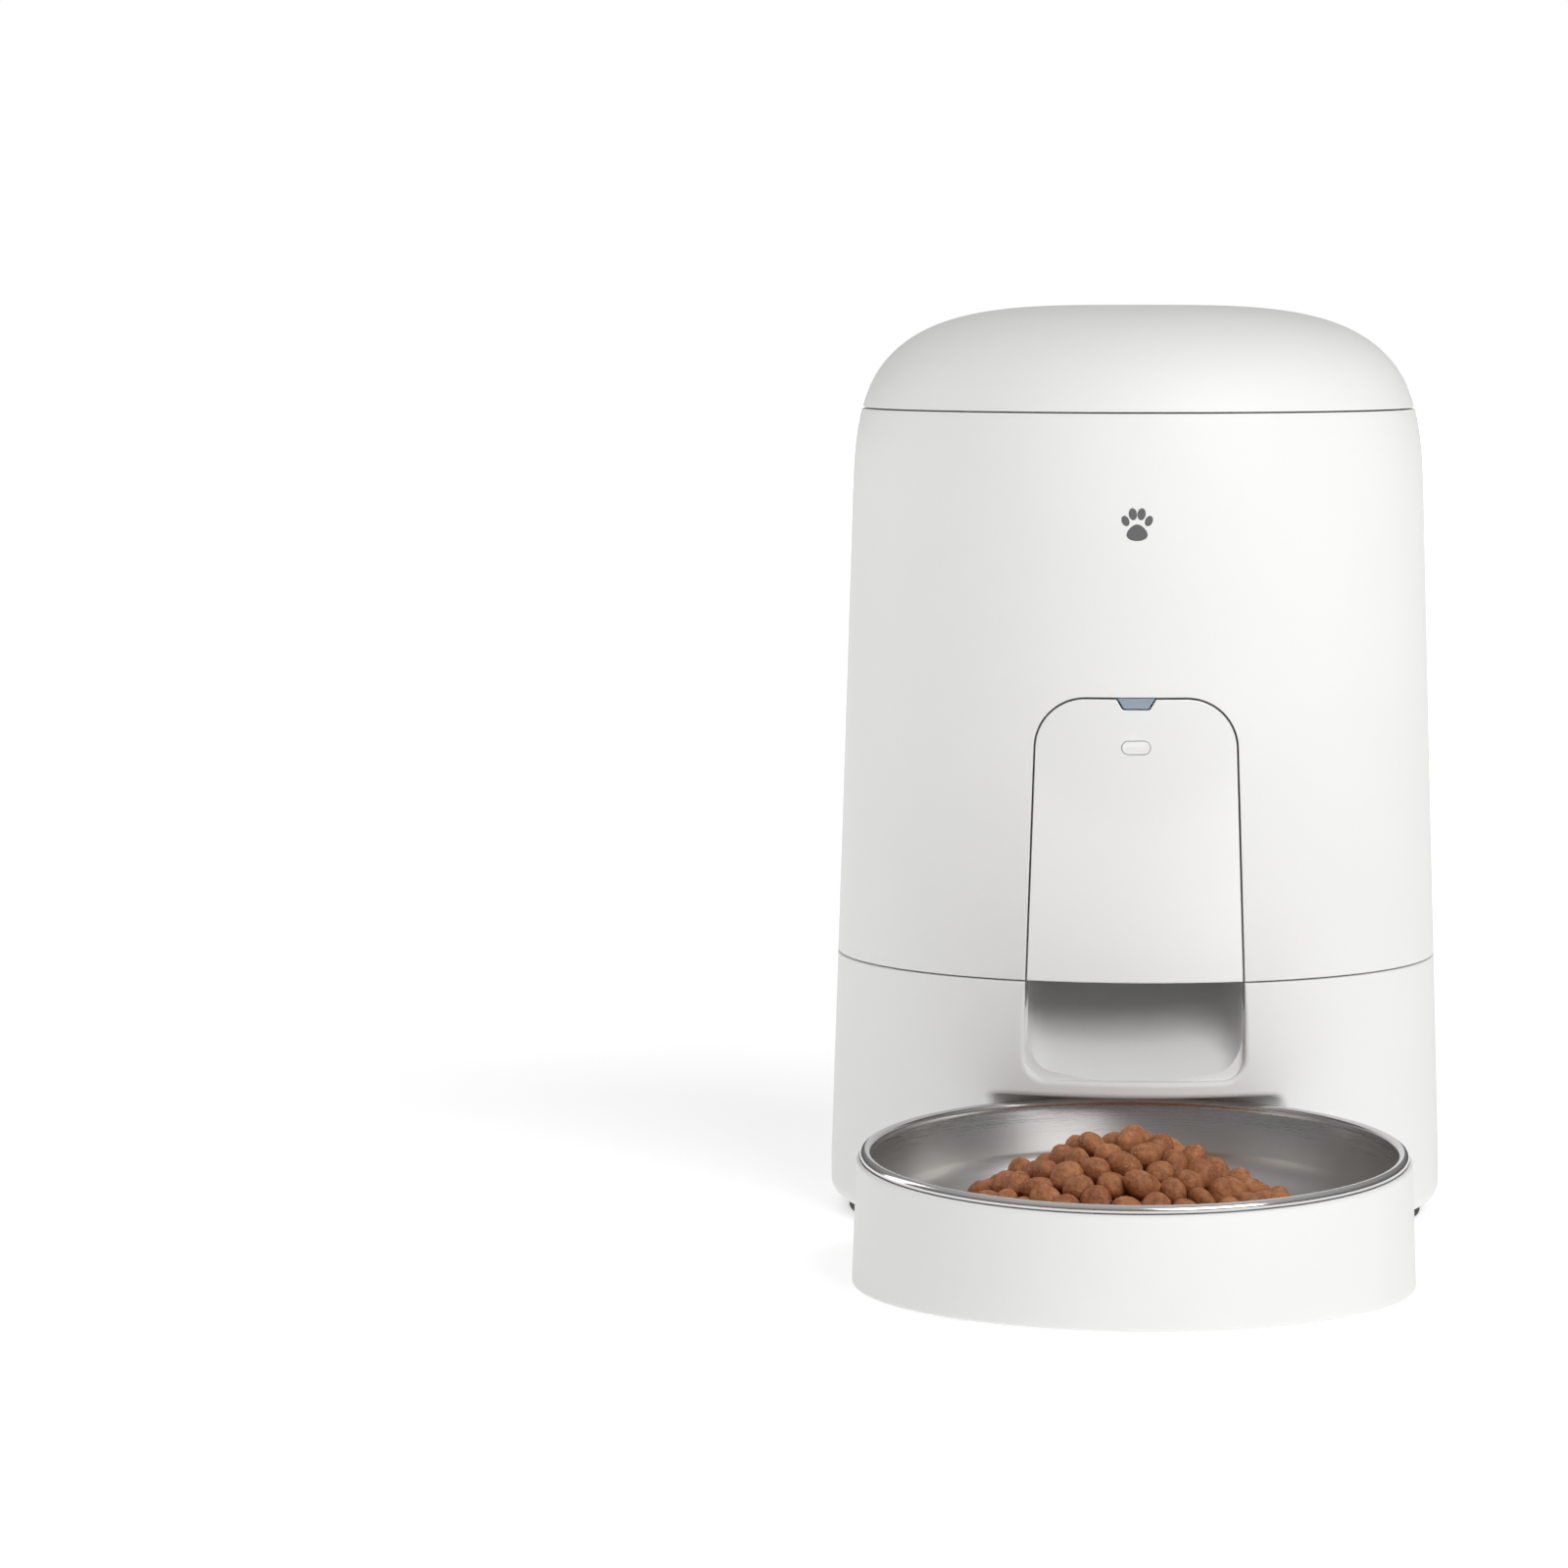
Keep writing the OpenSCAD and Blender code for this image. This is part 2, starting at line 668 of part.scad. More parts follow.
module key_switch() {
    color("#303030") translate([0, board_y, cover_top_z - key_drop]) rotate([90, 0, 0]) {
        translate([-3, -3, 0]) cube([6, 6, 3.4]);
        cylinder(r = 1.7, h = 4.6);
    }
}

module status_led() {
    color("ivory") box([-1.6, 1.6], [board_y - 1.4, board_y], [cover_top_z - 3, cover_top_z]);
}

// Tray and bowl

// The tray's outer form, cut by the plane of the rim at height w above it
module tray_body(inset, w) {
    intersection() {
        translate([0, bowl_y, tray_floor_z]) cylinder(r1 = tray_r - inset,
            r2 = tray_top_r - inset - 0.3, h = rim_back_z + 4);
        bowl_frame() translate([0, 0, w - 100]) cylinder(r = 200, h = 100);
    }
}

module food_tray() {
    color("whitesmoke") difference() {
        tray_body(0, -0.7);
        difference() {
            tray_body(tray_wall, 50);
            cylinder(r = 400, h = tray_floor_z + tray_wall);
        }
        bowl_frame() translate([0, 0, -lip_r - lip_gap]) cylinder(r = lip_center_r + lip_r + 0.35, h = 30);
        translate([0, bowl_y, 0]) for (a = [45:90:315]) rotate([0, 0, a])
            translate([tray_r - 14, 0, 0]) cylinder(r = 6.1, h = tray_floor_z + 0.8);
    }
}

module tray_pads() {
    color("#333333") translate([0, bowl_y, 0]) for (a = [45:90:315]) rotate([0, 0, a])
        translate([tray_r - 14, 0, 0]) cylinder(r = 6, h = tray_floor_z + 0.7);
}

module steel_bowl() {
    top_r = lip_center_r - lip_r + bowl_wall;
    knee_r = 15;
    floor_r = top_r - 4 - knee_r;
    knee = [floor_r, -bowl_depth + knee_r];
    color("silver") bowl_frame() {
        rotate_extrude() polygon(concat(
            [[0, -bowl_depth]], arc(knee, knee_r, -90, -6, 10),
            [[top_r, 0], [top_r - bowl_wall, 0.4]],
            arc(knee, knee_r - bowl_wall, -6, -90, 10), [[0, -bowl_depth + bowl_wall]]));
        rotate_extrude() translate([lip_center_r, 0]) circle(r = lip_r, $fn = 48);
    }
}

// Rotor and drive

module rotor() {
    hub_r = 9;
    color("#9fb7c4") difference() {
        translate([0, 0, rotor_z]) union() {
            cylinder(r = hub_r, h = rotor_h);
            for (k = [0:vane_count - 1]) rotate([0, 0, (k + 0.5) * 360 / vane_count])
                box([hub_r - 1, rotor_r], [-1.2, 1.2], [0.3, rotor_h - 0.3]);
        }
        translate([0, 0, rotor_z - 1]) d_shaft(shaft_d / 2 + 0.1, rotor_h - 2);
    }
}

// A shaft of radius r with one flat
module d_shaft(r, h) {
    difference() {
        cylinder(r = r, h = h);
        box([r - 0.9, r + 1], [-r, r], [-1, h + 1]);
    }
}

module agitator() {
    z = rotor_z + rotor_h;
    color("#9fb7c4") {
        translate([0, 0, z]) cylinder(r1 = 8, r2 = 3, h = 14);
        for (s = [0, 1]) rotate([0, 0, 30 + 180 * s]) translate([2, 0, z + 7 + 3 * s])
            rotate([0, 90, 0]) cylinder(r = 1.6, h = 22);
    }
}

module drive_shaft() {
    color("silver") {
        translate([0, 0, gearbox_z + 0.4]) cylinder(r = shaft_d / 2, h = rotor_z - gearbox_z - 0.8);
        translate([0, 0, rotor_z - 0.4 - eps]) d_shaft(shaft_d / 2, rotor_h - 3);
    }
}

module shaft_seal() {
    color("#333333") ring(shaft_d / 2 + 0.1, bush_r + 0.1, well_floor_z - 2, well_floor_z);
}

module output_gear() {
    color("ivory") difference() {
        union() {
            gear(wheel_teeth, gear_z[2]);
            translate([0, 0, gear_z[2] - gear_gap]) cylinder(r = 5.5, h = stage_h + 1);
        }
        cylinder(r = shaft_d / 2 + 0.02, h = body_h);
    }
}

// A wheel with a pinion above it, on one bore
module compound_gear(level, turn) {
    difference() {
        rotate([0, 0, turn]) {
            gear(wheel_teeth, gear_z[level]);
            gear(pinion_teeth, gear_z[level + 1]);
            translate([0, 0, gear_z[level] + stage_h]) cylinder(r = 4, h = gear_gap);
        }
        cylinder(r = axle_r + run_gap, h = body_h);
    }
}

module gear_b() {
    color("ivory") at([gear_b_at]) compound_gear(1, turn_b);
}

module gear_a() {
    color("ivory") at([gear_a_at]) compound_gear(0, turn_a);
}

module motor_pinion() {
    color("goldenrod") at([motor_at]) difference() {
        rotate([0, 0, turn_m]) gear(pinion_teeth, gear_z[0]);
        cylinder(r = motor_shaft_r + 0.02, h = body_h);
    }
}

module motor_shaft() {
    color("silver") at([motor_at]) translate([0, 0, deck_z - motor_l + 1])
        cylinder(r = motor_shaft_r, h = motor_l + gear_z[0] + stage_h - deck_z - 1);
}

module motor() {
    color("silver") at([motor_at]) difference() {
        union() {
            translate([0, 0, deck_z - motor_l]) cylinder(r = motor_d / 2, h = motor_l);
            translate([0, 0, deck_z - eps]) cylinder(r = 3, h = 2.4);
        }
        translate([0, 0, deck_z - motor_l + 0.9]) cylinder(r = motor_shaft_r + run_gap, h = motor_l + 5);
    }
}

module gear_axles() {
    color("silver") at([gear_b_at, gear_a_at]) translate([0, 0, gearbox_z + 0.6])
        cylinder(r = axle_r, h = gearbox_top_z - gearbox_z + 0.6);
}

module shaft_bushes() {
    color("goldenrod") {
        ring(shaft_d / 2 + run_gap, bush_r, gearbox_z + 0.2, gearbox_z + case_wall);
        ring(shaft_d / 2 + run_gap, bush_r, gearbox_top_z, gearbox_top_z + case_wall + 1);
    }
}

// Plan of the gearbox: a round bay for each gear, grown outwards by g
module case_plan(z, h, g) {
    at([gear_o, gear_b_at, gear_a_at]) translate([0, 0, z])
        cylinder(r = case_r + g, h = h);
    at([motor_at]) translate([0, 0, z]) cylinder(r = 8.4 + g, h = h);
}

module gearbox_base() {
    color("#d8d8d4") difference() {
        union() {
            case_plan(gearbox_z, gearbox_top_z - gearbox_z, 1.6);
            at(case_posts) translate([0, 0, gearbox_z]) cylinder(r = 3.4, h = gearbox_top_z - gearbox_z);
        }
        case_plan(gearbox_z + case_wall, gearbox_top_z, 0);
        at(case_posts) translate([0, 0, gearbox_z - 1]) cylinder(r = screw_r + 0.3, h = body_h);
        at([gear_b_at, gear_a_at]) translate([0, 0, gearbox_z + 0.55])
            cylinder(r = axle_r + 0.02, h = body_h);
        translate([0, 0, gearbox_z + 0.1]) cylinder(r = bush_r + 0.02, h = body_h);
        at([motor_at]) translate([0, 0, gearbox_z - 1]) cylinder(r = 3.2, h = body_h);
    }
}

module gearbox_cover() {
    color("#d8d8d4") difference() {
        union() {
            case_plan(gearbox_top_z, case_wall, 1.6);
            at(case_posts) translate([0, 0, gearbox_top_z]) cylinder(r = 3.4, h = case_wall);
        }
        at(case_posts) translate([0, 0, gearbox_top_z - 1]) cylinder(r = screw_r + 0.3, h = 9);
        at([gear_b_at, gear_a_at]) translate([0, 0, gearbox_top_z - 1])
            cylinder(r = axle_r + 0.02, h = 2.4);
        translate([0, 0, gearbox_top_z - 1]) cylinder(r = bush_r + 0.02, h = 9);
    }
}

module gearbox_screws() {
    color("silver") at(case_posts)
        screw(gearbox_top_z + case_wall, gearbox_top_z + case_wall - deck_z - 0.2, -1);
}

// Battery and electronics

bay_x = bay_in[0] / 2;
bay_ys = [bay_y - bay_in[1] / 2, bay_y + bay_in[1] / 2];
bay_top_z = plate_top_z + 0.6 + bay_in[2];

module battery_bay() {
    color("#e4e4e0") difference() {
        box([-bay_x - bay_wall, bay_x + bay_wall], bay_ys + [-bay_wall, bay_wall],
            [plate_top_z + 0.1, bay_top_z + bay_wall]);
        box([-bay_x, bay_x], bay_ys, [-1, bay_top_z]);
        for (s = [-1, 1]) box([s * (door[0] / 2 + 3) - 2.7, s * (door[0] / 2 + 3) + 2.7],
            [hinge_y - 3.4, hinge_y + 3.4], [0, hinge_z + 2.6]);
        box([-bay_x - 9, bay_x + 9], [bay_ys[0] - 9, hinge_y + hinge_r + 0.6],
            [0, hinge_z + hinge_r + 0.5]);
    }
}

module battery_door() {
    color("gainsboro") difference() {
        union() {
            box([-door[0] / 2, door[0] / 2], [hinge_y, bay_y + door[1] / 2], [foot_h, foot_h + door_t]);
            translate([-door[0] / 2, hinge_y, hinge_z]) rotate([0, 90, 0])
                cylinder(r = hinge_r, h = door[0]);
            translate([-door[0] / 2 - 3, hinge_y, hinge_z]) rotate([0, 90, 0])
                cylinder(r = door_pin_r, h = door[0] + 6);
        }
        for (i = [0:4]) translate([0, bay_y + door[1] / 2 - 6 - 2.4 * i, 0])
            box([-12 + 1.6 * i, 12 - 1.6 * i], [-0.6, 0.6], [foot_h - 1, foot_h + 0.6]);
    }
}

cell_z = plate_top_z + 0.8 + cell_d / 2;

module battery_cells() {
    for (i = [0:cell_count - 1]) translate([(i - (cell_count - 1) / 2) * (cell_d + 0.4), bay_y, cell_z]) {
        flip = i % 2 == 0 ? 1 : -1;
        color("#4a4f55") rotate([90, 0, 0]) cylinder(r = cell_d / 2 - 0.1, h = cell_l - 2, center = true);
        color("silver") rotate([90 * flip, 0, 0]) translate([0, 0, cell_l / 2 - 1.1])
            cylinder(r = 5, h = 1.6);
    }
}

module battery_contacts() {
    color("silver") for (s = [-1, 1], i = [0:cell_count - 1])
        translate([(i - (cell_count - 1) / 2) * (cell_d + 0.4), bay_y + s * (bay_in[1] / 2), cell_z]) {
            box([-8, 8], s > 0 ? [-0.6, 0] : [0, 0.6], [-8, 8]);
            rotate([90 * s, 0, 0]) translate([0, 0, 0.5]) cylinder(r1 = 7, r2 = 4, h = 1.7);
        }
}

board_z = deck_z - 12;

module control_board() {
    color("darkgreen") difference() {
        box([6, 62], [-14, 30], [board_z, board_z + 1.6]);
        at(board_holes) cylinder(r = screw_r + 0.3, h = body_h);
    }
}

board_holes = [[10, -10], [58, -10], [10, 26], [58, 26]];

module board_parts() {
    color("#2b2b2b") {
        box([24, 36], [0, 12], [board_z + 1.6, board_z + 3]);
        box([42, 50], [12, 22], [board_z + 1.6, board_z + 7]);
        for (x = [16, 52]) translate([x, 2, board_z + 1.6]) cylinder(r = 4, h = 8);
        for (x = [20, 34]) box([x, x + 8], [22, 28], [board_z + 1.6, board_z + 7]);
    }
    color("silver") at(board_holes) translate([0, 0, board_z + 1.6])
        cylinder(r = 2.6, h = deck_z - board_z - 1.6);
}

module power_board() {
    color("darkgreen") box([-10, 10],
        [body_d / 2 - 24, body_d / 2 - shell_wall - 3.2], [socket_z - 3.2, socket_z - 1.7]);
}

module power_socket() {
    depth = 7.6;
    color("silver") translate([0, body_d / 2 - shell_wall - 1, socket_z]) rotate([90, 0, 0]) {
        difference() {
            linear_extrude(depth) polygon(pill_points(9, 3.2));
            translate([0, 0, -1]) linear_extrude(depth) polygon(pill_points(8.4, 2.6));
        }
        translate([-3.3, -0.35, 1]) cube([6.6, 0.7, depth - 1.5]);
    }
}

base_housing();
bottom_plate();
foot_ring();
bottom_screws();
tray_dock();
upper_housing();
cover_frame();
deck();
deck_screws();
housing_screws();
hopper();
lid_shell();
lid_liner();
lid_seal();
lid_screws();
desiccant_bag();
desiccant_cap();
chute();
front_cover();
feed_key();
status_lens();
front_board();
key_switch();
status_led();
food_tray();
tray_pads();
steel_bowl();
rotor();
agitator();
drive_shaft();
shaft_seal();
output_gear();
gear_b();
gear_a();
motor_pinion();
motor_shaft();
motor();
gear_axles();
shaft_bushes();
gearbox_base();
gearbox_cover();
gearbox_screws();
battery_bay();
battery_door();
battery_cells();
battery_contacts();
control_board();
board_parts();
power_board();
power_socket();
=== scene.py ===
# %% [markdown]
# # An automatic pet feeder
# The CAD model holds every part at its true size. This script keeps the parts that are seldom seen,
# gives them their materials, and puts finer surfaces in place of the ones that everybody sees:
# the housings, the lid, the clip-on cover, the tray, the steel bowl and the food in it.

# %% Load the frame
import json
import math

import bmesh
import bpy
import numpy as np
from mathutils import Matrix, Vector
from mathutils.geometry import delaunay_2d_cdt


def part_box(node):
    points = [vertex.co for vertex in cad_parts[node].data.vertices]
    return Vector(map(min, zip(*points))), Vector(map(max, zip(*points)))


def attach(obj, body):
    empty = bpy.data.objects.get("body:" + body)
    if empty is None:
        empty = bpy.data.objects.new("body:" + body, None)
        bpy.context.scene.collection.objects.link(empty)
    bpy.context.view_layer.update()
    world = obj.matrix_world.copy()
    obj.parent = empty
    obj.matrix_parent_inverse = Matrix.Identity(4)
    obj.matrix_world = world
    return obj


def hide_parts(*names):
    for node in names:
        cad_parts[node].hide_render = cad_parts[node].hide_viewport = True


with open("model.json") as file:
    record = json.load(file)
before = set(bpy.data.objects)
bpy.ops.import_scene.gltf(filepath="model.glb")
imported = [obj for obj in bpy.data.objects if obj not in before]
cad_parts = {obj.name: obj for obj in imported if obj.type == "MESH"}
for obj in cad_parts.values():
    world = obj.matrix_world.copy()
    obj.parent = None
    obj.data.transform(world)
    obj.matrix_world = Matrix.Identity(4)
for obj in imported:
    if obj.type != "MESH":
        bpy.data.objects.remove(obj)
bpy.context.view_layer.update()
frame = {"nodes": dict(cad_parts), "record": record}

MM = 0.001

# %% [markdown]
# ## Sizes
# Shapes are worked out in millimetres, because the housing is drawn in millimetres. Every length
# that the CAD model already settles is read back from it, so the two can't drift apart. The few
# values after them say how the curves run between those sizes.


# %% Sizes read from the CAD model
def box_mm(node):
    """Lowest and highest corner of a CAD part, in millimetres."""
    low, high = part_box(node)
    return np.array(low) / MM, np.array(high) / MM


base_low, base_high = box_mm("base_housing")
lid_low, lid_high = box_mm("lid_shell")
tray_low, tray_high = box_mm("food_tray")
cover_high = box_mm("front_cover")[1]
key_low, key_high = box_mm("feed_key")
hopper_high = box_mm("hopper")[1]
chute_high = box_mm("chute")[1]
socket_low, socket_high = box_mm("power_socket")
BODY_R = base_high[0]
BODY_H = lid_high[2]
FOOT_H = base_low[2]
SEAM_GAP = 0.4
SEAM_Z = base_high[2] + SEAM_GAP / 2
LID_Z = lid_low[2]
HOUSING_TOP = LID_Z - SEAM_GAP
TRAY_R = (tray_high[0] - tray_low[0]) / 2
BOWL_Y = (tray_high[1] + tray_low[1]) / 2
TRAY_FLOOR = tray_low[2]
RECESS_TOP = box_mm("tray_dock")[1][2] - 2
COVER_GAP = 0.5
COVER_TOP = cover_high[2] + COVER_GAP

# How the curves run
TAPER = 0.031
EDGE_R = 5
WIDEST_Z = FOOT_H + EDGE_R + 6
DOME_Z = BODY_H - 57
DOME_POWER = 3.6
WALL = 2.4
MOUTH_W = 58.6
MOUTH_Z = RECESS_TOP + 4.5
MOUTH_CORNER = 6
RECESS_R = 73.8
ARCH_TOP_W = 54.6
ARCH_CORNER = 14
RIM_H = 34.4
BOWL_TILT = math.radians(3.2)
print(f"body {2 * BODY_R:.1f} wide, {BODY_H:.1f} high; bowl axis at y = {BOWL_Y:.1f}")


# %% [markdown]
# ## The body's outline
# The side leans in by a constant slope, and the last part below the top closes like a superellipse,
# which is squarer than a circle. One function of height gives the radius of the base, the housing
# and the lid, so their surfaces run into each other across the seams.


# %% Outline of the body
def outline(z, inset=0.0):
    """Radius at height z: the straight taper, less the inset, times the dome's superellipse."""
    z = np.asarray(z, float)
    taper = BODY_R - TAPER * (z - WIDEST_Z) - inset
    rise = np.clip((z - DOME_Z) / (BODY_H - inset - DOME_Z), 0, 1)
    return taper * (1 - rise**DOME_POWER) ** (1 / DOME_POWER)


def arc(centre, radius, start, stop, n=12):
    """n points round a circle, from the angle start to the angle stop, in degrees."""
    a = np.radians(np.linspace(start, stop, n))
    return np.column_stack([centre[0] + radius * np.cos(a), centre[1] + radius * np.sin(a)])


def pill(width, height, z, n=14):
    """A pill outline round (0, z), clockwise, so a sheet cut along it lies outside."""
    x, r = (width - height) / 2, height / 2
    return np.vstack([arc((x, z), r, 90, -90, n), arc((-x, z), r, 270, 90, n)])


def dense(path, step):
    """The same path with points added, so that no stretch is longer than step."""
    length = np.r_[0, np.cumsum(np.hypot(*np.diff(path, axis=0).T))]
    counts = np.maximum(1, np.ceil(np.diff(length) / step).astype(int))
    stretches = zip(length[:-1], length[1:], counts)
    at = np.concatenate([np.linspace(a, b, n, endpoint=False) for a, b, n in stretches])
    at = np.r_[at, length[-1]]
    return np.column_stack([np.interp(at, length, path[:, i]) for i in (0, 1)])


def no_repeats(loop):
    """A closed loop without points that fall on the one before."""
    return loop[np.linalg.norm(loop - np.roll(loop, 1, axis=0), axis=1) > 0.02]


def offset(path, distance, closed=False):
    """Moves each point of a path to its left by distance, along the mitre of its two sides."""
    side = np.diff(np.vstack([path, path[:1]]) if closed else path, axis=0)
    normal = np.column_stack([-side[:, 1], side[:, 0]]) / np.linalg.norm(side, axis=1)[:, None]
    before = np.roll(normal, 1, axis=0) if closed else np.vstack([normal[:1], normal])
    after = normal if closed else np.vstack([normal, normal[-1:]])
    mitre = (before + after) / (1 + (before * after).sum(axis=1))[:, None]
    return path + mitre * np.broadcast_to(distance, len(path))[:, None]


# %% [markdown]
# ## From points to a piece
# A surface is a grid of points: rows times columns times x, y and z. Several grids that meet along
# their edges become one closed mesh when the points that coincide are merged. The poles of a turned
# shape close in the same way. Edges sharper than a set angle stay crisp, the rest shade smoothly.


# %% Join grids into one closed piece
def grid_faces(rows, columns, first):
    """Corners of the four-sided faces between the points of a grid."""
    i = np.arange(rows * columns).reshape(rows, columns) + first
    return np.stack([i[:-1, :-1], i[:-1, 1:], i[1:, 1:], i[1:, :-1]], axis=-1).reshape(-1, 4)


def make_mesh(name, grids, fills=(), crisp=38):
    """One mesh from grids of points and from triangle fills, given in millimetres."""
    points, faces, count = [], [], 0
    for grid in grids:
        faces += grid_faces(*grid.shape[:2], count).tolist()
        points.append(grid.reshape(-1, 3))
        count += grid.shape[0] * grid.shape[1]
    for fill_points, triangles in fills:
        faces += (triangles + count).tolist()
        points.append(fill_points)
        count += len(fill_points)
    mesh = bpy.data.meshes.new(name)
    mesh.from_pydata(np.concatenate(points) * MM, [], faces)
    work = bmesh.new()
    work.from_mesh(mesh)
    bmesh.ops.remove_doubles(work, verts=work.verts, dist=0.003 * MM)
    bmesh.ops.dissolve_degenerate(work, edges=work.edges, dist=0.0002 * MM)
    bmesh.ops.recalc_face_normals(work, faces=work.faces)
    work.to_mesh(mesh)
    work.free()
    mesh.shade_smooth()
    mesh.set_sharp_from_angle(angle=math.radians(crisp))
    return mesh


def place(name, mesh, material, body, replaces=()):
    """Puts a finished mesh in the scene, riding on a CAD body."""
    piece = bpy.data.objects.new(name, mesh)
    bpy.context.scene.collection.objects.link(piece)
    mesh.materials.append(material)
    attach(piece, body)
    if replaces:
        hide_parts(*replaces)
    uses = np.bincount([loop.edge_index for loop in mesh.loops], minlength=len(mesh.edges))
    print(f"{name}: {len(mesh.polygons)} faces; edges with one face {(uses == 1).sum()}, "
          f"with more than two {(uses > 2).sum()}")
    return piece


def turned(profile, centre=(0.0, 0.0), segments=192):
    """A profile of radius and height, spun once round a vertical axis."""
    a = np.linspace(0, 2 * math.pi, segments + 1)
    a[-1] = 0
    x = centre[0] + profile[:, :1] * np.sin(a)
    y = centre[1] - profile[:, :1] * np.cos(a)
    return np.stack([x, y, np.broadcast_to(profile[:, 1:], x.shape)], axis=-1)


# %% [markdown]
# ## Camera
# A long lens from the front, a little above the feeder, and turned so that the feeder stands to
# the right of the middle of the picture.

# %% Camera
camera = bpy.data.objects.new("camera", bpy.data.cameras.new("camera"))
bpy.context.scene.collection.objects.link(camera)
camera.data.sensor_width = 36
camera.data.lens = 133.3
camera.data.clip_end = 50
camera.location = (0, -1.6207, 0.2560)
camera.rotation_euler = (math.radians(90 - 4.86), 0, math.radians(3.48))
bpy.context.scene.camera = camera

# %% [markdown]
# ## Floor and light
# One pale sheet that glows a little, as a light table does, so it stays white all the way back. A
# soft panel from the front right models the round body and a strip from the back left lights its
# far edge. The surroundings are dim at the horizon and brighter overhead.

# %% Floor
across = np.array([-9.0, 9.0])
away = np.array([-4.0, 14.0])
sheet = np.stack([*np.meshgrid(across, away), np.zeros((2, 2))], axis=-1)
floor_mesh = bpy.data.meshes.new("floor")
floor_mesh.from_pydata(sheet.reshape(-1, 3), [], grid_faces(2, 2, 0).tolist())
floor = bpy.data.objects.new("floor", floor_mesh)
bpy.context.scene.collection.objects.link(floor)


# %% Lights
def soft_panel(name, azimuth, elevation, distance, size, watts, aim=(0, 0, 0.12)):
    """An area light on a sphere round the feeder. Azimuth 0 is the front, 90 the right."""
    light = bpy.data.lights.new(name, "AREA")
    light.shape = "RECTANGLE"
    light.size, light.size_y = size
    light.energy = watts
    panel = bpy.data.objects.new(name, light)
    a, e = math.radians(azimuth), math.radians(elevation)
    away = Vector((math.sin(a) * math.cos(e), -math.cos(a) * math.cos(e), math.sin(e)))
    panel.location = Vector(aim) + away * distance
    panel.rotation_euler = away.to_track_quat("Z", "Y").to_euler()
    bpy.context.scene.collection.objects.link(panel)
    return panel


soft_panel("key_panel", 33, 34, 2.4, (1.6, 1.5), 31)
soft_panel("rim_strip", -112, 14, 1.7, (0.5, 1.6), 6)

world = bpy.data.worlds.new("studio")
world.use_nodes = True
bpy.context.scene.world = world
shade = world.node_tree
background = shade.nodes["Background"]
background.inputs["Color"].default_value = (1, 1, 1, 1)
direction = shade.nodes.new("ShaderNodeTexCoord")
axes = shade.nodes.new("ShaderNodeSeparateXYZ")
shade.links.new(direction.outputs["Generated"], axes.inputs["Vector"])
overhead = shade.nodes.new("ShaderNodeMapRange")
overhead.inputs["From Min"].default_value = 0.05
overhead.inputs["To Min"].default_value = 0.1
overhead.inputs["To Max"].default_value = 0.62
shade.links.new(axes.outputs["Z"], overhead.inputs["Value"])
seen = shade.nodes.new("ShaderNodeLightPath")
level = shade.nodes.new("ShaderNodeMix")
level.inputs["B"].default_value = 1.0
shade.links.new(overhead.outputs["Result"], level.inputs["A"])
shade.links.new(seen.outputs["Is Camera Ray"], level.inputs["Factor"])
shade.links.new(level.outputs["Result"], background.inputs["Strength"])
bpy.context.scene.view_settings.view_transform = "Standard"

# %% [markdown]
# ## Effects shared by the materials
# Each effect is a node group that is built once. It reads Object coordinates, so it sits still on
# the piece, and it puts out only colours, masks and heights. The materials below place it with
# their own values.


# %% Tools for node groups
def new_group(name, inputs, outputs):
    """An empty group with float inputs (name to default) and outputs (name to socket type)."""
    group = bpy.data.node_groups.new(name, "ShaderNodeTree")
    for label, value in inputs.items():
        kind = "NodeSocketColor" if isinstance(value, tuple) else "NodeSocketFloat"
        group.interface.new_socket(label, in_out="INPUT", socket_type=kind).default_value = value
    for label, kind in outputs.items():
        group.interface.new_socket(label, in_out="OUTPUT", socket_type=kind)
    return group, group.nodes.new("NodeGroupInput"), group.nodes.new("NodeGroupOutput")


def add(tree, kind, links=None, **settings):
    """A node with its settings, its socket values and its links given by name."""
    node = tree.nodes.new(kind)
    for name, value in settings.items():
        setattr(node, name, value)
    for socket, value in (links or {}).items():
        if isinstance(value, bpy.types.NodeSocket):
            tree.links.new(value, node.inputs[socket])
        else:
            node.inputs[socket].default_value = value
    return node


# %% Moulded grain: the fine spark-eroded texture of matte plastic
def build_moulded_grain():
    """Two sizes of noise added: pits near Size, and a broad unevenness of the surface."""
    group, start, end = new_group(
        "moulded_grain", {"Size": 900.0, "Broad": 14.0},
        {"Height": "NodeSocketFloat", "Drift": "NodeSocketFloat"})
    where = add(group, "ShaderNodeTexCoord").outputs["Object"]
    fine = add(group, "ShaderNodeTexNoise", {
        "Vector": where, "Scale": start.outputs["Size"], "Detail": 3.0, "Roughness": 0.6})
    broad = add(group, "ShaderNodeTexNoise", {
        "Vector": where, "Scale": start.outputs["Broad"], "Detail": 2.0})
    group.links.new(fine.outputs["Fac"], end.inputs["Height"])
    group.links.new(broad.outputs["Fac"], end.inputs["Drift"])
    return group


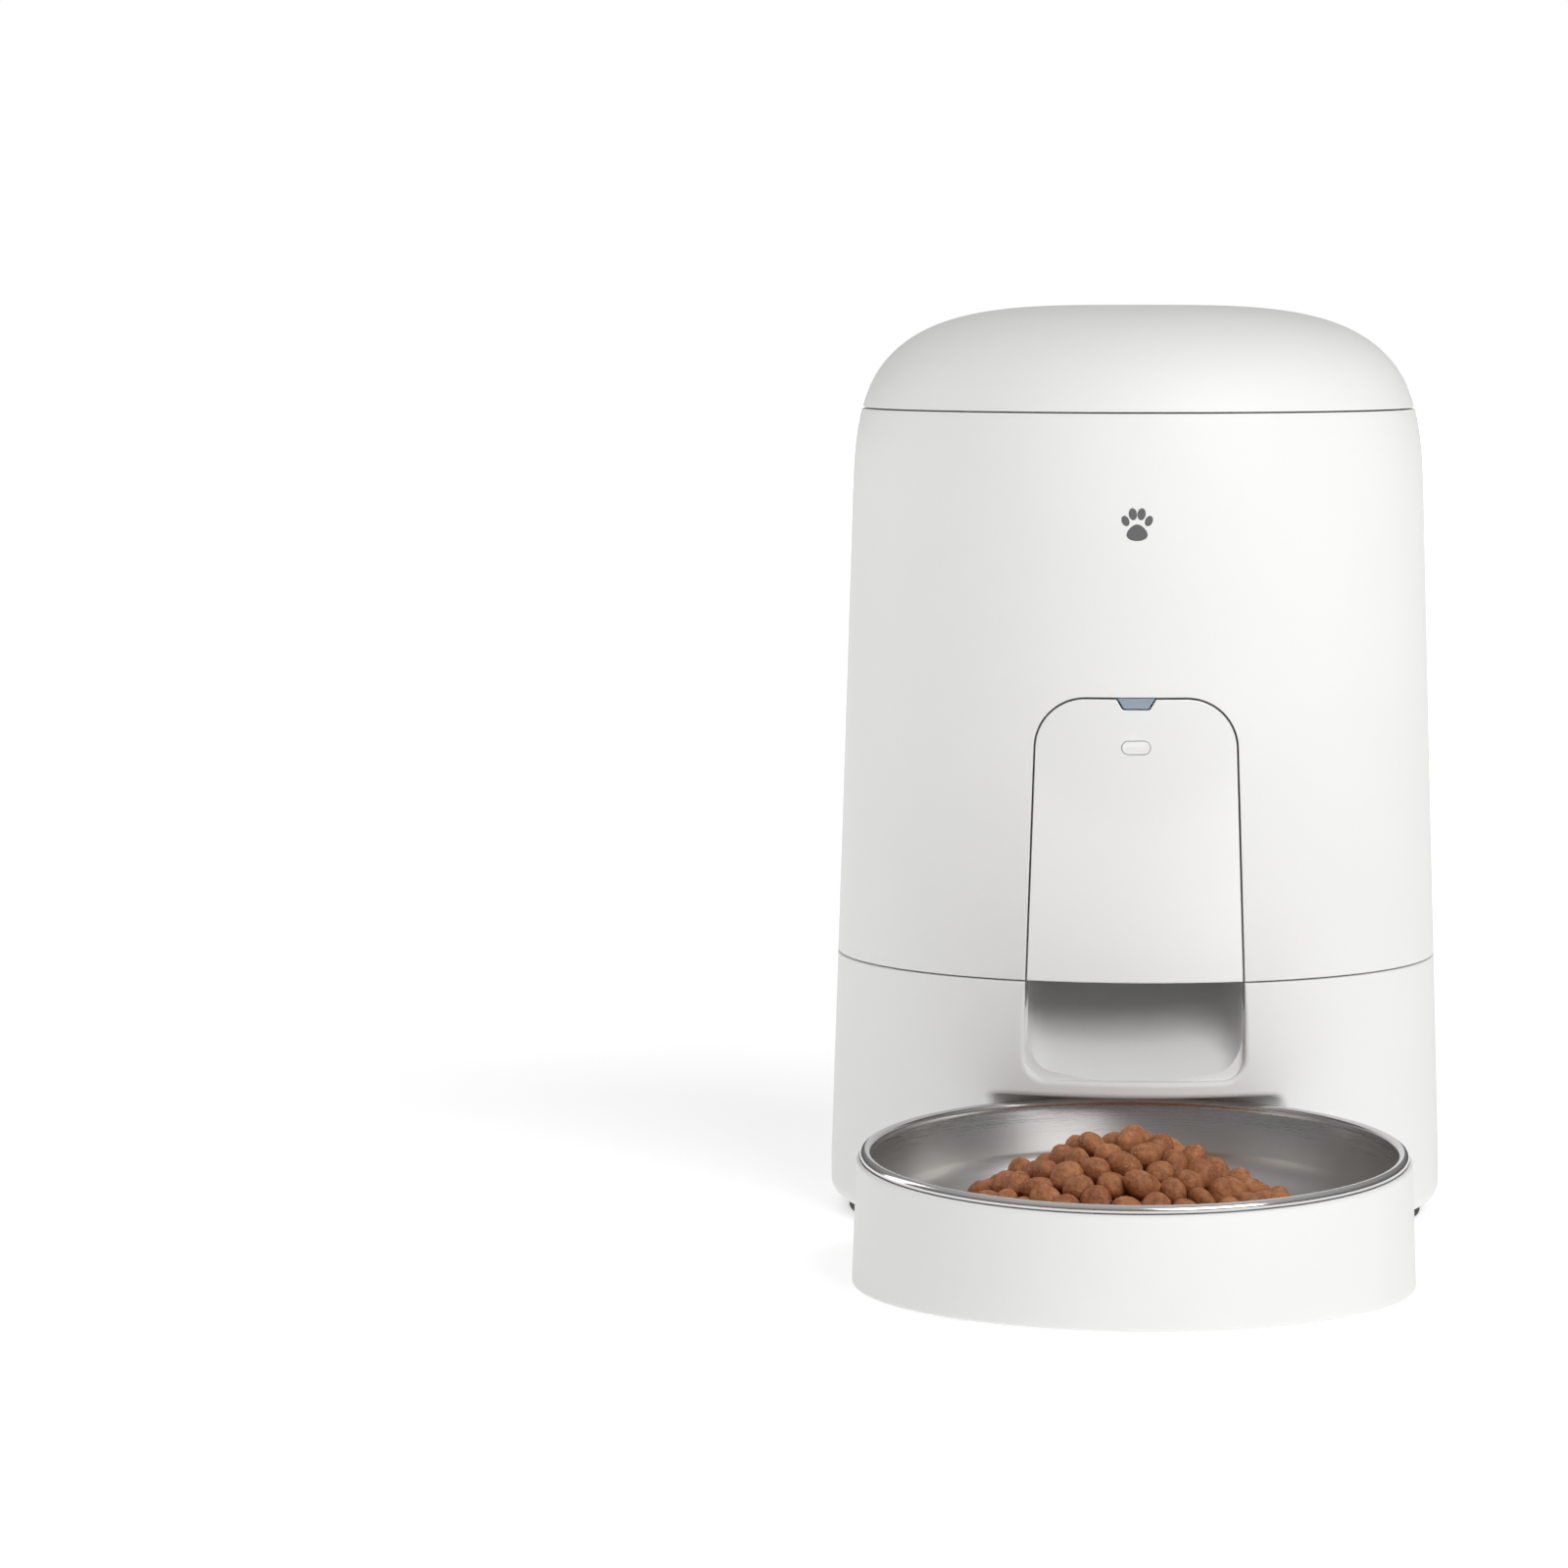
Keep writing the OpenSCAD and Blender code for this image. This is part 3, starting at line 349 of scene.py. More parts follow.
# %% Spun rings: fine circles that a lathe leaves round an axis
def build_spun_rings():
    """Noise that runs in rings, read at (radius x Lines, height x Lines / 3, a trace of angle)."""
    group, start, end = new_group(
        "spun_rings", {"Lines": 2600.0, "Centre Y": 0.0},
        {"Height": "NodeSocketFloat", "Streak": "NodeSocketFloat"})
    where = add(group, "ShaderNodeTexCoord").outputs["Object"]
    axes = add(group, "ShaderNodeSeparateXYZ", {"Vector": where})
    y = add(group, "ShaderNodeMath", {0: axes.outputs["Y"], 1: start.outputs["Centre Y"]},
            operation="SUBTRACT")
    flat = add(group, "ShaderNodeCombineXYZ", {"X": axes.outputs["X"], "Y": y.outputs[0]})
    radius = add(group, "ShaderNodeVectorMath", {0: flat.outputs[0]}, operation="LENGTH")
    across = add(group, "ShaderNodeMath",
                 {0: radius.outputs["Value"], 1: start.outputs["Lines"]}, operation="MULTIPLY")
    down = add(group, "ShaderNodeMath",
               {0: axes.outputs["Z"], 1: start.outputs["Lines"]}, operation="MULTIPLY")
    spot = add(group, "ShaderNodeCombineXYZ", {"X": across.outputs[0], "Y": down.outputs[0]})
    rings = add(group, "ShaderNodeTexNoise", {
        "Vector": spot.outputs[0], "Scale": 1.0, "Detail": 2.0, "Roughness": 0.7})
    wide = add(group, "ShaderNodeTexNoise", {"Vector": where, "Scale": 26.0, "Detail": 3.0})
    group.links.new(rings.outputs["Fac"], end.inputs["Height"])
    group.links.new(wide.outputs["Fac"], end.inputs["Streak"])
    return group


moulded_grain = build_moulded_grain()
spun_rings = build_spun_rings()


# %% [markdown]
# ## Materials
# Every finish is one Principled BSDF. What is the same all over sits on its own sockets. What
# changes over the surface comes from a group above: the roughness drifts a little, the colour
# drifts less, and the grain is a bump far too fine to model.


# %% A material with grain
def ranged(tree, value, low, high):
    """Maps a mask from its usual 0.3 to 0.7 onto low to high."""
    return add(tree, "ShaderNodeMapRange", {
        "Value": value, "From Min": 0.3, "From Max": 0.7, "To Min": low, "To Max": high,
    }).outputs["Result"]


def grained(name, colour, rough, *, size=900.0, depth=0.02, tint=0.03, spread=0.05, **sockets):
    """A material whose roughness and tint drift and whose bump is the moulded grain.

    depth is the grain's height in millimetres, tint the share of colour that drifts, spread the
    range of the roughness."""
    material = bpy.data.materials.new(name)
    material.use_nodes = True
    tree = material.node_tree
    surface = tree.nodes["Principled BSDF"]
    grain = add(tree, "ShaderNodeGroup", node_tree=moulded_grain)
    grain.inputs["Size"].default_value = size
    darker = tuple(c * (1 - tint) for c in colour) + (1.0,)
    blend = add(tree, "ShaderNodeMix", {
        "Factor": ranged(tree, grain.outputs["Drift"], 0, 1)}, data_type="RGBA")
    blend.inputs["A"].default_value = darker
    blend.inputs["B"].default_value = (*colour, 1.0)
    tree.links.new(blend.outputs["Result"], surface.inputs["Base Color"])
    tree.links.new(ranged(tree, grain.outputs["Drift"], rough - spread / 2, rough + spread / 2),
                   surface.inputs["Roughness"])
    bump = add(tree, "ShaderNodeBump", {
        "Height": grain.outputs["Height"], "Distance": depth * MM, "Strength": 1.0})
    tree.links.new(bump.outputs["Normal"], surface.inputs["Normal"])
    for socket, value in sockets.items():
        surface.inputs[socket.replace("_", " ")].default_value = value
    return material


white_matte = grained("white_matte_plastic", (0.82, 0.82, 0.81), 0.52, size=1100, depth=0.03)
white_gloss = grained("white_gloss_plastic", (0.84, 0.84, 0.835), 0.1, size=120, depth=0.002,
                      tint=0.01, spread=0.03, Coat_Weight=0.5, Coat_Roughness=0.04)
inner_plastic = grained("inner_plastic", (0.74, 0.74, 0.72), 0.4, size=600, depth=0.01)
rotor_plastic = grained("rotor_plastic", (0.36, 0.5, 0.58), 0.45, size=500, depth=0.02)
gear_plastic = grained("gear_plastic", (0.78, 0.74, 0.6), 0.38, size=300, depth=0.01,
                       Subsurface_Weight=0.1)
black_rubber = grained("black_rubber", (0.012, 0.012, 0.012), 0.68, size=700, depth=0.04)
clear_rubber = grained("clear_rubber", (0.66, 0.7, 0.72), 0.35, depth=0.005,
                       Transmission_Weight=0.35)
black_plastic = grained("black_plastic", (0.02, 0.02, 0.022), 0.42, depth=0.02)
circuit_board = grained("circuit_board", (0.01, 0.12, 0.045), 0.3, size=1500, depth=0.01, tint=0.3)
led_package = grained("led", (0.85, 0.8, 0.55), 0.25, depth=0.002)
cell_jacket = grained("cell_jacket", (0.08, 0.1, 0.12), 0.24, size=80, depth=0.002, tint=0.15)
bag_paper = grained("bag_paper", (0.82, 0.8, 0.7), 0.85, size=260, depth=0.12, tint=0.08)
grey_ink = grained("grey_ink", (0.115, 0.115, 0.118), 0.5, size=1100, depth=0.02)
hardware_steel = grained("hardware_steel", (0.62, 0.62, 0.6), 0.28, size=240, depth=0.006,
                         tint=0.1, spread=0.12, Metallic=1.0)
brass = grained("brass", (0.62, 0.44, 0.18), 0.32, size=400, depth=0.008, tint=0.15, Metallic=1.0)
floor_paper = grained("floor_paper", (0.9, 0.9, 0.9), 0.9, size=60, depth=0.01, tint=0.0,
                      Emission_Color=(1, 1, 1, 1))
lens_acrylic = grained("lens", (0.62, 0.76, 0.9), 0.12, depth=0.001, tint=0.02,
                       Transmission_Weight=0.55, IOR=1.49)


FLOOR_GLOW = 0.42


def brighten_far(material, near, far):
    """Lets the paper's own light rise from near to far, in metres, until it is white."""
    tree = material.node_tree
    surface = tree.nodes["Principled BSDF"]
    where = add(tree, "ShaderNodeTexCoord").outputs["Object"]
    away = add(tree, "ShaderNodeVectorMath", {0: where}, operation="LENGTH")
    glow = add(tree, "ShaderNodeMapRange", {
        "Value": away.outputs["Value"], "From Min": near, "From Max": far,
        "To Min": FLOOR_GLOW, "To Max": 1.0})
    tree.links.new(glow.outputs["Result"], surface.inputs["Emission Strength"])


brighten_far(floor_paper, 0.35, 1.8)
floor_mesh.materials.append(floor_paper)


# %% [markdown]
# The bowl is spun from sheet steel. The lathe leaves fine rings in its satin inside, while the
# rolled lip is polished by handling. Rings round an axis need the distance from that axis, which
# the group works out from Object coordinates, and the lip is told apart by an attribute.


# %% Spun steel
def spun_steel(name):
    """Brushed steel: rings in the bump, roughness from "polish" (0 is satin and 1 is bright)."""
    material = bpy.data.materials.new(name)
    material.use_nodes = True
    tree = material.node_tree
    surface = tree.nodes["Principled BSDF"]
    surface.inputs["Metallic"].default_value = 1.0
    rings = add(tree, "ShaderNodeGroup", node_tree=spun_rings)
    rings.inputs["Centre Y"].default_value = BOWL_Y * MM
    polish = add(tree, "ShaderNodeAttribute", attribute_name="polish").outputs["Fac"]
    satin = ranged(tree, rings.outputs["Height"], 0.3, 0.42)
    rough = add(tree, "ShaderNodeMix", {"Factor": polish})
    tree.links.new(satin, rough.inputs["A"])
    rough.inputs["B"].default_value = 0.14
    tree.links.new(rough.outputs["Result"], surface.inputs["Roughness"])
    tint = add(tree, "ShaderNodeMix", {
        "Factor": ranged(tree, rings.outputs["Streak"], 0, 1)}, data_type="RGBA")
    tint.inputs["A"].default_value = (0.60, 0.59, 0.575, 1)
    tint.inputs["B"].default_value = (0.68, 0.67, 0.655, 1)
    tree.links.new(tint.outputs["Result"], surface.inputs["Base Color"])
    bump = add(tree, "ShaderNodeBump", {
        "Height": rings.outputs["Height"], "Distance": 0.006 * MM, "Strength": 0.6})
    tree.links.new(bump.outputs["Normal"], surface.inputs["Normal"])
    return material


steel = spun_steel("spun_steel")

# %% [markdown]
# Dry food is baked dough: brown, and paler where it is dusty. Its colour darkens where its pores
# sink in, which is painted shade. The attribute "bake" makes each piece a little lighter or darker
# than its neighbours.


# %% Baked dough
def build_baked_dough():
    """Three noises: Crumb for the colour, darker in its low spots as painted shade in the pores,
    Grit for dusty specks, and their sum as the height.
    """
    group, start, end = new_group(
        "baked_dough", {"Size": 520.0},
        {"Crumb": "NodeSocketFloat", "Grit": "NodeSocketFloat", "Height": "NodeSocketFloat"})
    where = add(group, "ShaderNodeTexCoord").outputs["Object"]
    crumb_and_pore_shade = add(group, "ShaderNodeTexNoise", {
        "Vector": where, "Scale": start.outputs["Size"], "Detail": 4.0, "Roughness": 0.62})
    finer = add(group, "ShaderNodeMath", {0: start.outputs["Size"], 1: 3.4}, operation="MULTIPLY")
    grit = add(group, "ShaderNodeTexNoise", {
        "Vector": where, "Scale": finer.outputs[0], "Detail": 2.0, "Roughness": 0.5})
    both = add(group, "ShaderNodeMath", {0: grit.outputs["Fac"], 1: 0.35, 2: crumb_and_pore_shade.outputs["Fac"]},
               operation="MULTIPLY_ADD")
    group.links.new(crumb_and_pore_shade.outputs["Fac"], end.inputs["Crumb"])
    group.links.new(grit.outputs["Fac"], end.inputs["Grit"])
    group.links.new(both.outputs[0], end.inputs["Height"])
    return group


def blend_colour(tree, factor, low, high):
    """A mix of two colours or sockets by a factor."""
    node = add(tree, "ShaderNodeMix", {"Factor": factor}, data_type="RGBA")
    for name, value in (("A", low), ("B", high)):
        if isinstance(value, tuple):
            node.inputs[name].default_value = (*value, 1.0)
        else:
            tree.links.new(value, node.inputs[name])
    return node.outputs["Result"]


def baked(name):
    """Rough brown dough whose colour runs from painted shade in the pores to the crust, and from
    piece to piece.
    """
    material = bpy.data.materials.new(name)
    material.use_nodes = True
    tree = material.node_tree
    surface = tree.nodes["Principled BSDF"]
    dough = add(tree, "ShaderNodeGroup", node_tree=build_baked_dough())
    # The crumb mask darkens the colour where the bump sinks in: painted shade in the pores.
    crumb_and_pore_shade = ranged(tree, dough.outputs["Crumb"], 0, 1)
    piece = add(tree, "ShaderNodeAttribute", attribute_name="bake").outputs["Fac"]
    dark = blend_colour(tree, crumb_and_pore_shade, (0.20, 0.062, 0.020), (0.42, 0.150, 0.052))
    light = blend_colour(tree, crumb_and_pore_shade, (0.30, 0.105, 0.036), (0.56, 0.235, 0.092))
    body = blend_colour(tree, piece, dark, light)
    specks = add(tree, "ShaderNodeMapRange", {
        "Value": dough.outputs["Grit"], "From Min": 0.62, "From Max": 0.74, "To Max": 0.6})
    colour = blend_colour(tree, specks.outputs["Result"], body, (0.72, 0.42, 0.2))
    tree.links.new(colour, surface.inputs["Base Color"])
    tree.links.new(ranged(tree, dough.outputs["Crumb"], 0.75, 0.55), surface.inputs["Roughness"])
    bump = add(tree, "ShaderNodeBump", {
        "Height": dough.outputs["Height"], "Distance": 0.5 * MM, "Strength": 0.9})
    tree.links.new(bump.outputs["Normal"], surface.inputs["Normal"])
    return material


kibble = baked("kibble")

# %% [markdown]
# ## CAD parts that stay
# The parts inside keep their CAD meshes. Each takes the material of its slot in the record.

# %% Dress the CAD parts
FINISHES = {
    "white_matte_plastic": white_matte, "white_gloss_plastic": white_gloss,
    "inner_plastic": inner_plastic, "rotor_plastic": rotor_plastic, "gear_plastic": gear_plastic,
    "steel": steel, "hardware_steel": hardware_steel, "brass": brass,
    "black_rubber": black_rubber, "clear_rubber": clear_rubber, "lens": lens_acrylic,
    "black_plastic": black_plastic, "circuit_board": circuit_board, "led": led_package,
    "cell_jacket": cell_jacket, "bag_paper": bag_paper,
}
for part in frame["record"]["subparts"]:
    node = frame["nodes"][part["node"]]
    node.data.materials.clear()
    node.data.materials.append(FINISHES[part["material_slot"]])
print(len(frame["nodes"]), "CAD parts dressed")

# %% [markdown]
# ## Walls with openings
# The base and the housing are thin round walls with openings: the mouth, the recess for the tray
# and the arch of the cover. Each is drawn flat, as a sheet cut along an outline, and then wrapped.
# A rounded edge is a profile carried along that outline: its rows move into the sheet while they
# rise from the depth of the rounding to the surface. Inside the rows a triangle mesh fills the
# sheet, with a regular grid of points in it so that the curved surface stays smooth.

# %% Cut a sheet along its outlines
HOLD = 0.25


def edge_rows(radius):
    """How far in and how deep the rows of a rounded edge lie: a quarter circle, then a flat."""
    a = np.radians(np.linspace(0, 90, 6))
    into = np.r_[1 - np.cos(a), 1] * radius + np.r_[np.zeros(6), HOLD]
    depth = np.r_[1 - np.sin(a), 0] * radius
    return into, depth


def edge_band(path, radius, closed=False):
    """Rows of (x, v, depth) that carry the rounded edge along a path. radius may vary along it."""
    radius = np.broadcast_to(radius, len(path)).astype(float)
    unit_in, unit_deep = edge_rows(1.0)
    unit_in[-1] = 1.0
    rows = []
    for k, (into, deep) in enumerate(zip(unit_in, unit_deep)):
        hold = HOLD if k == len(unit_in) - 1 else 0
        moved = offset(path, into * radius + hold, closed)
        rows.append(np.column_stack([moved, deep * radius]))
    band = np.stack(rows)
    return np.concatenate([band, band[:, :1]], axis=1) if closed else band


def crossings(points, loops):
    """Whether each point is inside the loops, by counting the sides that a ray crosses."""
    a = np.concatenate(loops)
    b = np.concatenate([np.roll(loop, -1, axis=0) for loop in loops])
    x, y = points[:, :1], points[:, 1:]
    spans = (a[:, 1] > y) != (b[:, 1] > y)
    rise = np.where(b[:, 1] == a[:, 1], 1, b[:, 1] - a[:, 1])
    at = (b[:, 0] - a[:, 0]) * (y - a[:, 1]) / rise + a[:, 0]
    return (spans & (x < at)).sum(axis=1) % 2 == 1


def distance_to(points, loops):
    """Distance from each point to the nearest side of the loops."""
    a = np.concatenate(loops)
    side = np.concatenate([np.roll(loop, -1, axis=0) for loop in loops]) - a
    away = points[:, None] - a
    share = (away * side).sum(-1) / np.maximum((side**2).sum(-1), 1e-12)
    return np.linalg.norm(away - np.clip(share, 0, 1)[..., None] * side, axis=-1).min(axis=1)


# Triangles with less area than this, in square millimetres, lie along a straight side
SLIVER = 1e-4


def fill_sheet(loops, columns, rows, clear=0.7):
    """Triangles that fill the first loop less the others, with grid points well inside them."""
    grid = np.stack(np.meshgrid(columns, rows), axis=-1).reshape(-1, 2)
    grid = grid[crossings(grid, loops)]
    grid = grid[distance_to(grid, loops) > clear]
    points = np.concatenate([*loops, grid])
    ends = np.cumsum([len(loop) for loop in loops])
    first = ends - [len(loop) for loop in loops]
    edges = np.concatenate([
        np.column_stack([np.arange(s, e), np.r_[np.arange(s + 1, e), s]])
        for s, e in zip(first, ends)])
    out = delaunay_2d_cdt([Vector(p) for p in points.tolist()], edges.tolist(), [], 0, 1e-6)
    flat = np.array(out[0], float)
    triangles = np.array(out[2])
    a, b, c = (flat[triangles[:, k]] for k in range(3))
    area = np.abs((b - a)[:, 0] * (c - a)[:, 1] - (b - a)[:, 1] * (c - a)[:, 0]) / 2
    keep = crossings(flat[triangles].mean(axis=1), loops) & (area > SLIVER)
    return flat, triangles[keep]


# %% [markdown]
# A sheet is wrapped by two profiles, one for its outer face and one for its inner face. Both list
# radius and height against the same length v along the wall, so a point at a depth between the
# faces lies between the two profiles. In front, x is kept, because the mould's halves pull apart
# along Y and leave the sides of an opening straight. Behind, the points go round in even steps.


# %% Wrap a sheet round the body
class Wall:
    """A round wall, given by v and by the outer and inner profiles, (radius, height) at each v."""

    def __init__(self, v, outer, inner, thick, half_front, half_rear=0, shift=None):
        self.v, self.outer, self.inner, self.thick = v, outer, inner, thick
        self.half_front, self.half_rear, self.shift = half_front, half_rear, shift

    def at(self, v, depth):
        """Radius and height at length v and at a depth below the outer face."""
        share = np.asarray(depth) / self.thick
        pairs = [(np.interp(v, self.v, self.outer[:, i]), np.interp(v, self.v, self.inner[:, i]))
                 for i in (0, 1)]
        return [outer * (1 - share) + inner * share for outer, inner in pairs]

    def front(self, x, v, depth):
        """Points on the front sector: x kept, y from the circle of that height."""
        radius, z = self.at(v, depth)
        if self.shift:
            x = self.shift(x, z, radius, self.at(v, 0 * np.asarray(depth))[0])
        return np.stack([x, -np.sqrt(radius**2 - x**2), z + 0 * x], axis=-1)

    def rear(self, x, v, depth):
        """The same on the sector behind."""
        radius, z = self.at(v, depth)
        return np.stack([x, np.sqrt(radius**2 - x**2), z + 0 * x], axis=-1)

    def flanks(self, v, depth, steps=72):
        """Points on both sides, in even steps from the front sector's edge to the rear one's."""
        radius, z = self.at(v, depth)
        start = np.arcsin(self.half_front / radius)
        stop = math.pi - np.arcsin(self.half_rear / radius)
        a = start + (stop - start) * np.linspace(0, 1, steps + 1)
        return [np.stack([side * radius * np.sin(a), -radius * np.cos(a), z + 0 * a], axis=-1)
                for side in (1, -1)]


def cut_sheet(face, thick, bands, joins, columns, rows, clear=0.7):
    """Both faces and the edges of a sheet that a face function wraps.

    Its outline runs along the first bands and the joins that follow each of them. The bands
    beyond those, or beyond the first one if nothing joins it, are holes."""
    count = max(len(joins), 1)
    if joins:
        around = np.vstack([part for band, join in zip(bands, joins)
                            for part in (band[-1, :, :2], join)])
    else:
        around = bands[0][-1, :-1, :2]
    loops = [around] + [band[-1, :-1, :2] for band in bands[count:]]
    flat, triangles = fill_sheet(loops, columns, rows, clear)
    x, v = flat.T
    fills = [(face(x, v, 0 * x), triangles), (face(x, v, thick + 0 * x), triangles)]
    grids = []
    side = np.array([[0.0], [1.0]])
    for band in bands:
        x, v, deep = np.moveaxis(band, -1, 0)
        rim = deep[0] * (1 - side) + thick * side
        grids += [face(x, v, deep), face(x, v, thick + 0 * deep)]
        grids.append(face(x[0] + 0 * rim, v[0] + 0 * rim, rim))
    return grids, fills


def cut_wall(wall, low, high, rows, columns, holes=()):
    """Grids and fills of a closed wall. low and high are (path, rounding) of its front edges.

    The low path runs towards +x and the high one towards -x, so the sheet is on their left. The
    holes are loops in the rear sector."""
    low_in, low_deep = edge_rows(np.broadcast_to(low[1], len(low[0]))[0])
    high_in, high_deep = edge_rows(np.broadcast_to(high[1], len(high[0]))[0])
    low_v, high_v = low[0][0, 1], high[0][0, 1]
    v_rows = np.r_[low_v + low_in, rows, (high_v - high_in)[::-1]][:, None]
    depths = np.r_[low_deep, np.zeros(len(rows)), high_deep[::-1]][:, None]
    sectors = [(wall.front, wall.half_front, low, high, (), columns)]
    if wall.half_rear:
        x = np.linspace(-wall.half_rear, wall.half_rear, 17)
        plain_low = (np.column_stack([x, np.full(17, low_v)]), low_deep[0])
        plain_high = (np.column_stack([x[::-1], np.full(17, high_v)]), high_deep[0])
        sectors.append((wall.rear, wall.half_rear, plain_low, plain_high, holes, x))
    grids, fills = [], []
    for face, half, lower, upper, cuts, across in sectors:
        bands = [edge_band(*lower), edge_band(*upper)]
        bands += [edge_band(loop, 0.3, closed=True) for loop in cuts]
        right = np.column_stack([np.full(len(rows), half), rows])
        sheet = cut_sheet(face, wall.thick, bands, [right, right[::-1] * (-1, 1)], across, rows)
        grids += sheet[0]
        fills += sheet[1]
    grids += wall.flanks(v_rows, depths) + wall.flanks(v_rows, wall.thick + 0 * depths)
    for k in (0, -1):
        rim = np.array([[depths[k, 0]], [wall.thick]])
        grids += wall.flanks(v_rows[k] + 0 * rim, rim)
    return grids, fills


def part_ring(profile, start, stop, segments=160):
    """A closed profile turned from start to stop, in degrees from the front, with capped ends."""
    a = np.radians(np.linspace(start, stop, segments + 1))
    x, y = profile[:, :1] * np.sin(a), -profile[:, :1] * np.cos(a)
    grid = np.stack([x, y, np.broadcast_to(profile[:, 1:], x.shape)], axis=-1)
    fan = np.array([[0, i, i + 1] for i in range(1, len(profile) - 2)])
    return grid, [(grid[:-1, 0], fan), (grid[:-1, -1], fan)]


def block(corners, low, high):
    """A closed prism over four corners in plan."""
    loop = np.vstack([corners, corners[:1]])
    levels = [np.column_stack([loop, np.full(5, z)]) for z in (low, high)]
    cap = np.array([[0, 1, 2], [0, 2, 3]])
    return np.stack(levels), [(levels[0][:4], cap), (levels[1][:4], cap)]


def rib(centre, reach, low, high):
    """The rib that ties a screw post to the wall: a block two millimetres thick."""
    along = centre / np.linalg.norm(centre)
    aside = np.array([-along[1], along[0]])
    inner, outer = np.linalg.norm(centre) + 3.9, reach
    corners = np.array([along * r + aside * t
                        for r, t in ((inner, -1), (outer, -1), (outer, 1), (inner, 1))])
    return block(corners, low, high)


def post(centre, low, high, inner=1.35, outer=4.0):
    """A screw post: a tube from low to high, as a closed turned profile."""
    corners = np.array([[inner, low], [outer, low], [outer, high], [inner, high], [inner, low]])
    return turned(corners, centre, 32)


def ring_points(radius, angles):
    """Points at a radius, at angles in degrees counted from +X."""
    a = np.radians(angles)
    return np.column_stack([radius * np.cos(a), radius * np.sin(a)])


# %% [markdown]
# ## Upper housing
# A tapered wall with the arch for the cover cut into its front, from the seam upwards.


# %% Upper housing
def arch_path(grow=0.0, foot=None):
    """The arch of the cover from its left foot to its right one, grown outwards by grow."""
    foot = SEAM_Z + SEAM_GAP / 2 if foot is None else foot
    x, r = ARCH_TOP_W / 2 - ARCH_CORNER, ARCH_CORNER + grow
    z = COVER_TOP - ARCH_CORNER
    left = np.vstack([[[-MOUTH_W / 2 - grow, foot]], arc((-x, z), r, 180, 90, 20)])
    return np.vstack([left, (left * (-1, 1))[::-1]])


HOUSING_FRONT = 45
housing_z = np.unique(np.r_[
    np.linspace(SEAM_Z + 1, DOME_Z, 44), np.linspace(DOME_Z, HOUSING_TOP - 0.9, 22)])
profile_z = np.linspace(SEAM_Z, HOUSING_TOP, 400)
housing_wall = Wall(
    profile_z,
    np.column_stack([outline(profile_z), profile_z]),
    np.column_stack([outline(profile_z, WALL), profile_z]), WALL, HOUSING_FRONT)
foot_z = SEAM_Z + SEAM_GAP / 2
low = dense(np.vstack([[[-HOUSING_FRONT, foot_z]], arch_path(), [[HOUSING_FRONT, foot_z]]]), 2.5)
high = dense(np.array([[HOUSING_FRONT, HOUSING_TOP], [-HOUSING_FRONT, HOUSING_TOP]], float), 2.5)
grids, fills = cut_wall(housing_wall, (low, 0.3), (high, 0.3), housing_z, np.linspace(-45, 45, 37))

# The skirt that closes the seam from inside, open at the mouth, and the ledge under the hopper
skirt_r = outline(SEAM_Z) - WALL
skirt = np.array([[skirt_r - 2.2, SEAM_Z - 6], [skirt_r - 0.3, SEAM_Z - 6],
                  [skirt_r - 0.3, SEAM_Z + 4], [skirt_r - 2.2, SEAM_Z + 4],
                  [skirt_r - 2.2, SEAM_Z - 6]])
open_angle = math.degrees(math.asin((MOUTH_W / 2 + 3) / skirt_r))
skirt_grid, skirt_caps = part_ring(skirt, open_angle, 360 - open_angle)
ledge_z = hopper_high[2] - 2
ledge = np.array([[hopper_high[0] - 1.3, ledge_z - 3], [outline(ledge_z) - 1.2, ledge_z - 3],
                  [outline(ledge_z) - 1.2, ledge_z], [hopper_high[0] - 1.3, ledge_z],
                  [hopper_high[0] - 1.3, ledge_z - 3]])
grids += [skirt_grid, turned(ledge)]
fills += skirt_caps
for centre in ring_points(71.5, [-32, 212, 42, 138]):
    tie, caps = rib(centre, outline(SEAM_Z + 22) - 1.2, SEAM_Z + 1, SEAM_Z + 21.5)
    grids += [post(centre, SEAM_Z - 6.9, SEAM_Z + 22), tie]
    fills += caps
place("upper_housing_shell", make_mesh("upper_housing_shell", grids, fills), white_matte,
      "housing", ["upper_housing"])

# %% [markdown]
# ## Base
# The same wall goes on down to the floor, round a soft bottom edge and in under the feeder, with a
# groove for the rubber ring. Two openings are cut in it: the mouth, open to the seam, and the
# recess that the tray slides into, open to the floor. The recess is a circle in plan about the
# bowl's axis, so its sides sit closer together where the wall is further in.


# %% Base housing
def recess_half_width(radius):
    """Half the chord that the recess circle cuts from a circle of that radius round the body."""
    y = (radius**2 + BOWL_Y**2 - RECESS_R**2) / (2 * abs(BOWL_Y))
    return np.sqrt(radius**2 - y**2)


def follow_recess(x, z, radius, outer_radius):
    """Moves x with the recess's side as the wall gets deeper, fading out above and beside it."""
    half = recess_half_width(outer_radius)
    near = np.clip((RECESS_TOP + 3 - z) / 2, 0, 1)
    beside = np.clip((BASE_FRONT - np.abs(x)) / (BASE_FRONT - half), 0, 1)
    beside = np.where(np.abs(x) < half, 1, beside)
    return x * (1 - near * beside * (1 - recess_half_width(radius) / half))


